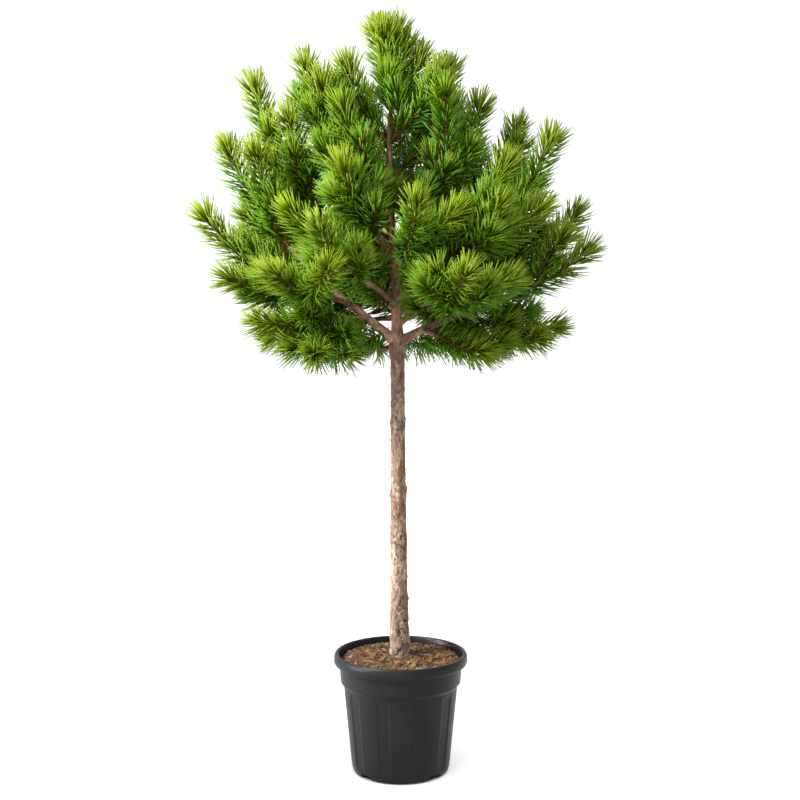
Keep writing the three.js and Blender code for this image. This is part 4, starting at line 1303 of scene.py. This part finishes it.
def make_boughs(step=2.2):
    """Every limb is a tube with the bark's relief, all joined in one mesh. Thick limbs have more
    columns and older bark."""
    tubes, layers = [], []
    for number, limb in enumerate(limbs[:-1]):
        row, path = limb["row"], limb["path"]
        old, columns = THICK_BARK if row["thick"] > THICK_LIMB else THIN_BARK
        shares = np.linspace(0, 1, max(8, round(path["length"] / step)))
        turn = np.arange(columns) / columns + 0 * shares[:, None]
        distance = shares[:, None] * path["length"] + 0 * turn
        age = old + 0 * turn
        key = SEEDS["boughs"] + SEED_STEP * number
        height, plate, seam = bark_relief(turn, distance, PLATES_ROUND["bough"], age, 0 * age, 1, key)
        radius = limb_radius(row, shares, path["length"])[:, None]
        tubes.append(tube_points(path, shares, radius + 0.8 * height, columns))
        layers.append(end_rows(plate=plate, seam=seam, age=age))
    boughs = add_piece("bough_bark", *joined(tubes), PINE_BARK, "bark", **together(layers))
    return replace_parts(boughs, *(f"bough_{limb['name']}" for limb in limbs[:-1]))


bough_bark = make_boughs()
print("bough triangles:", triangles_in(bough_bark))

# %% [markdown]
# ## Shoots and buds
# The wood that bears the needles is this and last year's growth: slim, orange brown and rough
# with the little cushions that each needle pair stands on. Each shoot ends in a pointed bud.

# %% Shoot wood
# the radius at the foot of a shoot, a side shoot and a twig, and at every tip
SHOOT_WOOD = {"foot": (4.6, 3.4, 2.4), "tip": 2.0}
BUD = {"length": 9.0, "sunk": 2.0, "radius": 2.6}


def shoot_radius(shoot, share):
    """From the root's radius to 2 mm at the tip, by power 0.8."""
    return mix(min(shoot["root"], SHOOT_WOOD["foot"][shoot["order"]]), SHOOT_WOOD["tip"], share**0.8)


def wood_tube(shoot, number, columns=7, step=4.5):
    """A tube whose radius swells by up to a fifth in a pattern of needle cushions."""
    length = shoot["path"]["length"]
    shares = np.linspace(0, 1, max(4, round(length / step)))
    turn = np.arange(columns) + 0 * shares[:, None]
    cushions = waves(turn, shares[:, None] * length / step, columns, number)
    radii = shoot_radius(shoot, shares)[:, None] * (1 + 0.2 * cushions)
    return tube_points(shoot["path"], shares, radii, columns)


def bud_tube(shoot, columns=6):
    """A bud 9 mm long past the shoot's end: radius 2.6 sqrt(1 - t) with a rounded foot."""
    points = shoot["path"]["points"]
    along = direction_along(points, 1.0)
    ends = points[-1] + along * np.array([[-BUD["sunk"]], [BUD["length"]]])
    shares = np.linspace(0.02, 0.99, 5)
    radii = BUD["radius"] * np.sqrt(1 - shares) * smooth(shares, -0.3, 0.35)
    path = {"points": ends, "length": BUD["sunk"] + BUD["length"]}
    return tube_points(path, shares, radii[:, None], columns)


masses = [f"foliage_{row['name']}" for row in [*LIMBS, *TRUNK_SHOOTS, LEADER]]
bearers = shoots + twigs
wood_tubes = [wood_tube(shoot, number) for number, shoot in enumerate(bearers)]
wood = add_piece("shoot_wood", *joined(wood_tubes), SHOOT_BARK, "bark")
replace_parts(wood, *masses)
buds = add_piece("buds", *joined([bud_tube(shoot) for shoot in bearers]), BUD_SCALES, "bark")
print("shoot wood triangles:", triangles_in(wood), "bud triangles:", triangles_in(buds))

# %% [markdown]
# ## Needles
# Stone pine needles grow in pairs, spirally, pointing forward along the shoot, so that every
# shoot looks like a bottle brush with a blunt tip. The newest needles at the ends are yellow
# green. The ones inside the crown are darker as painted shade, and those at its top and
# outside lighter as painted light. A needle here is a closed three-sided blade with one
# bend and a blunt tip, twelve triangles. All needles are worked out as arrays, shoot by shoot,
# and dealt into plain tints.

# %% Needle pairs along a shoot
NEEDLE = {
    "length": 57, "width": 3.4,
    # degrees off the shoot along it, near its tip, and in the tuft that ends it
    "spread": 46, "tip_spread": 42, "tuft_spread": (3, 44),
    # pairs in a mm of shoot, side shoot and twig, needles in the tuft, half the angle of a pair
    "pairs_per_mm": (0.56, 0.53, 0.46), "leader_crowding": 1.4, "tuft": 18, "pair_turn": 0.09,
    # how much each differs: in turn, in degrees off the shoot, within a pair, and in length
    "turn_off": 0.2, "spread_off": 6, "pair_spread": (1, 6), "lengths": (0.84, 1.04),
    # the bend: forward, up, and by chance; and the length at the shoot's foot
    "forward": 0.14, "up": 0.05, "bend_off": 0.08, "foot_length": 0.84,
}
GOLDEN_TURN = math.radians(137.508)


def needle_pairs(shoot, number):
    """Foot, direction, bend direction and length of each needle, with what decides its tint.
    Pairs step along the shoot while turning by the golden angle. The spread off the shoot is
    46 degrees, falls to 42 near the tip and is any from 3 to 44 in the tuft that ends it. On the
    shoot's first third the needles are up to a sixth shorter."""
    random = np.random.default_rng(SEEDS["needles"] + number)
    length, bare, tuft = shoot["path"]["length"], shoot["bare"], NEEDLE["tuft"]
    crowding = NEEDLE["leader_crowding"] if shoot["mass"] == "leader" else 1
    count = int((length - bare) * NEEDLE["pairs_per_mm"][shoot["order"]] * crowding)
    distance = np.append(np.linspace(bare, length, count), length + random.uniform(-3, 2, tuft))
    from_tip = length - distance
    share = np.clip(distance / length, 0, 1)
    centre, along, u, v = frames_along(shoot["path"], share)
    angle = np.arange(count + tuft) * GOLDEN_TURN + random.normal(0, NEEDLE["turn_off"], count + tuft)
    spread = mix(NEEDLE["spread"], NEEDLE["tip_spread"], smooth(share, 0.7, 1))
    spread[count:] = random.uniform(*NEEDLE["tuft_spread"], tuft)
    spread = spread + random.normal(0, NEEDLE["spread_off"], count + tuft)
    full = NEEDLE["length"] * mix(NEEDLE["foot_length"], 1.0, smooth(share, 0, 0.3))
    sides = []
    for side in (-1, 1):
        turned = angle + side * NEEDLE["pair_turn"]
        out = u * np.cos(turned)[:, None] + v * np.sin(turned)[:, None]
        wide = spread + side * random.uniform(*NEEDLE["pair_spread"], count + tuft)
        wide = np.radians(wide)[:, None]
        direction = along * np.cos(wide) + out * np.sin(wide)
        bend = direction + NEEDLE["forward"] * along + NEEDLE["up"] * UP
        bend = unit(bend + random.normal(0, NEEDLE["bend_off"], direction.shape))
        foot = centre + out * shoot_radius(shoot, share)[:, None] * 0.6
        long = full * random.uniform(*NEEDLE["lengths"], count + tuft)
        sides.append(dict(foot=foot, direction=direction, bend=bend, long=long, from_tip=from_tip))
    both = together(sides)
    total = len(both["long"])
    both["shoot_tone"] = np.full(total, random.normal())
    both["tone"] = random.normal(size=total)
    both["order"] = np.full(total, shoot["order"])
    return both


needle = together([needle_pairs(shoot, number) for number, shoot in enumerate(bearers)])
print("needles before trimming:", len(needle["long"]))

# %% Keep needles off the limbs and inside the plant's size
PAST_SOLIDS = 4


def clear_of_limbs(points, margin=1.0):
    """True where a point is outside every limb. Of the points near a limb's box, those by the
    trunk are tested with its radius at their height, the others with the limb's radius halfway."""
    kept = np.ones(len(points), bool)
    for limb in limbs:
        chain = limb["path"]["points"]
        low, high = chain.min(0) - 25, chain.max(0) + 25
        near = np.nonzero(((points > low) & (points < high)).all(1))[0]
        if limb["name"] == "trunk":
            axis = trunk_axis(points[near, 2])
            distance = np.linalg.norm((points[near] - axis)[:, :2], axis=1)
            bound = trunk_radius(points[near, 2])
        else:
            distance = distances_to_chains(points[near], [chain])
            bound = limb_radius(limb["row"], 0.5, limb["path"]["length"])
        kept[near[distance < bound + margin]] = False
    return kept


half = needle["long"][:, None] * 0.5
needle["middle"] = needle["foot"] + needle["direction"] * half
needle["tip"] = needle["middle"] + needle["bend"] * half
low, high = (np.array(corner) / MM for corner in cad_box)
inside = ((needle["tip"] > low - PAST_SOLIDS) & (needle["tip"] < high + PAST_SOLIDS)).all(1)
kept = inside & clear_of_limbs(needle["middle"]) & clear_of_limbs(needle["tip"])
needle = {key: values[kept] for key, values in needle.items()}
print("needles kept:", len(needle["long"]), "of", len(kept))

# %% Deal out tints
GREENS = ["deep_green", "mid_green", "bright_green", "yellow_green", "lime"]
GREEN_STEPS = [0.27, 0.4, 0.57, 0.74]
# the young tips' term is the needles' own colour; the terms for the outside, the upward slope and the
# shaded side are painted light and shade
BRIGHTNESS = {
    "least": 0.2, "outside": 0.25, "young": 0.4, "young_twig": 0.16, "painted_side_shade": -0.15, "painted_upward_light": 0.09,
    "shoot_by_chance": 0.1, "needle_by_chance": 0.07,
}
# the crown's top, lighter as painted sunlight, and its side darker as painted shade, by height and from
# left to right
SUNLIT_TOP = (1330, 1470)
TOWARDS_PAINTED_SHADE = (-250, 300)


def needle_tints():
    """A brightness from nearness to the shoot's tip, nearness to the crown's outside or top and
    the needle's own upward slope, with a little chance for each shoot and needle, is cut into
    five greens. Nearness to the tip is the young growth's own yellow green. Needles deep inside
    the crown are darker as painted shade, those near its outside or top or slanting upward are
    lighter as painted light, and the +X side is darker as painted shade. Some dark ones turn
    bluish, and a few by the trunk are last year's, dry and tan."""
    random = np.random.default_rng(SEEDS["tints"])
    x, y, z = needle["foot"].T
    # painted light near the crown's outside and sunlit top, painted shade deep inside it
    outside = smooth(np.hypot(x - CROWN["x"], y) / np.maximum(crown_reach(z), CROWN["least"]), 0.2, 0.85)
    outside = np.maximum(outside, smooth(z, *SUNLIT_TOP))
    # painted shade: needles towards +X are dealt darker greens
    painted_side_shade = smooth(x, *TOWARDS_PAINTED_SHADE)
    young = (1 - smooth(needle["from_tip"], 8, 80)) * np.where(
        needle["order"] < 2, BRIGHTNESS["young"], BRIGHTNESS["young_twig"]
    )
    value = BRIGHTNESS["least"] + BRIGHTNESS["outside"] * outside + young
    # painted light: the more a needle slants upward, the lighter its green
    value = value + BRIGHTNESS["painted_side_shade"] * painted_side_shade + BRIGHTNESS["painted_upward_light"] * needle["direction"][:, 2]
    value = value + BRIGHTNESS["shoot_by_chance"] * needle["shoot_tone"]
    value = value + BRIGHTNESS["needle_by_chance"] * needle["tone"]
    tint = np.array(GREENS)[np.digitize(value, GREEN_STEPS)]
    bluish = (value < 0.4) & (random.random(len(value)) < 0.12)
    tint = np.where(bluish, "blue_green", tint)
    dry = (outside < 0.25) & (z < 1350) & (random.random(len(value)) < 0.07)
    return np.where(dry, "old_tan", tint)


tints = needle_tints()
print({str(name): int((tints == name).sum()) for name in np.unique(tints)})

# %% Needle meshes
NEEDLES_A_PIECE = 16000
NEEDLE_SIDES = [(0, 1, 4), (0, 4, 3), (1, 2, 5), (1, 5, 4), (2, 0, 3), (2, 3, 5)]
NEEDLE_ENDS = [(0, 2, 1), (3, 4, 6), (4, 5, 7), (5, 3, 6), (6, 4, 7), (7, 5, 6)]
NEEDLE_FACES = np.array(NEEDLE_SIDES + NEEDLE_ENDS)
NEEDLE_CORNERS = 8


def needle_points(chosen):
    """Three points round the foot, three round the bend and two for the blunt tip: (n, 8, 3).
    The section is 0.6 of its width at the foot, full at the bend and half at the tip."""
    way, tip = needle["direction"][chosen], needle["tip"][chosen]
    side = unit(np.cross(way, UP + 0.3 * np.sin(needle["foot"][chosen])))
    other = np.cross(way, side)
    corners = []
    for place, radius in (("foot", 0.3), ("middle", 0.5)):
        for corner in range(3):
            angle = corner * TURN / 3 + 0.5
            across = side * math.cos(angle) + other * math.sin(angle)
            corners.append(needle[place][chosen] + across * radius * NEEDLE["width"])
    blunt = side * 0.25 * NEEDLE["width"]
    return np.stack([*corners, tip + blunt, tip - blunt], 1)


def make_needles():
    """The needles of each tint, in as many pieces as keep every piece small."""
    pieces = []
    for name in NEEDLE_TINTS:
        chosen = np.nonzero(tints == name)[0]
        blocks = np.array_split(chosen, max(1, math.ceil(len(chosen) / NEEDLES_A_PIECE)))
        for number, block in enumerate(blocks, 1):
            faces = copied_faces(NEEDLE_FACES, NEEDLE_CORNERS, len(block))
            label = f"needles_{name}_{number}"
            piece = add_piece(label, needle_points(block), faces, NEEDLE_WAX[name], "needles")
            pieces.append(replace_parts(piece, *masses))
    return pieces


needles = make_needles()
print("needle pieces:", len(needles), "triangles:", sum(map(triangles_in, needles)))

# %% [markdown]
# ## Floor and background
# The floor is a sheet of pale paper that runs out of sight, under a near-white sky of even
# light. The key light and the stem's light are kept off the floor, or it would throw so much of
# them back that the stem had no shaded side. So the pot keeps only a faint soft shadow.


# %% Floor and sky
def make_floor(half=9.0, drop=0.0004):
    """A square of paper, a hair's breadth under the pot's base."""
    shape = bpy.data.meshes.new("studio_floor")
    corners = [(-half, -half, -drop), (half, -half, -drop), (half, half, -drop), (-half, half, -drop)]
    shape.from_pydata(corners, [], [(0, 1, 2, 3)])
    material, tree, shader, place = new_material("matt_white_paper")
    fibres = add_node(tree, "TexNoise", Vector=place, Scale=6.0, Detail=2.0)
    tone = add_node(tree, "ValToRGB", stops=[(0.3, "#f8f8f8"), (0.7, "#fafafa")], Fac=fibres)
    connect(tree, shader, Base_Color=tone, Roughness=0.9)
    shape.materials.append(material)
    floor = add_object("studio_floor", shape)
    floor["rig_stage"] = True
    return floor


floor = make_floor()
key_doors = bpy.data.collections.new("kept_out_of_the_key_beam")
key_doors.objects.link(floor)
key_doors.collection_objects[0].light_linking.link_state = "EXCLUDE"
for lamp in (key_light, stem_light):
    lamp.light_linking.receiver_collection = key_doors
sky = bpy.data.worlds.new("soft_white_sky")
sky.use_nodes = True
background = sky.node_tree.nodes["Background"]
background.inputs["Color"].default_value = linear("#ffffff")
background.inputs["Strength"].default_value = 1.14
bpy.context.scene.world = sky
bpy.context.scene.view_settings.view_transform = "Standard"
print("floor and sky are set")

# %% [markdown]
# ## Sizes
# The sizes of the dressed plant and of its solids are printed side by side. The dressed
# plant must keep the size of its solids.

# %% Print the boxes
visual_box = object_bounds()
boxes = {
    "cad": [list(corner) for corner in cad_box],
    "visual": [list(corner) for corner in visual_box],
}
print("size of the solids:", [round(b - a, 4) for a, b in zip(*boxes["cad"])])
print("size of the visual:", [round(b - a, 4) for a, b in zip(*boxes["visual"])])
print("triangles in all:", sum(triangles_in(p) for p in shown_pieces() if "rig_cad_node" not in p))
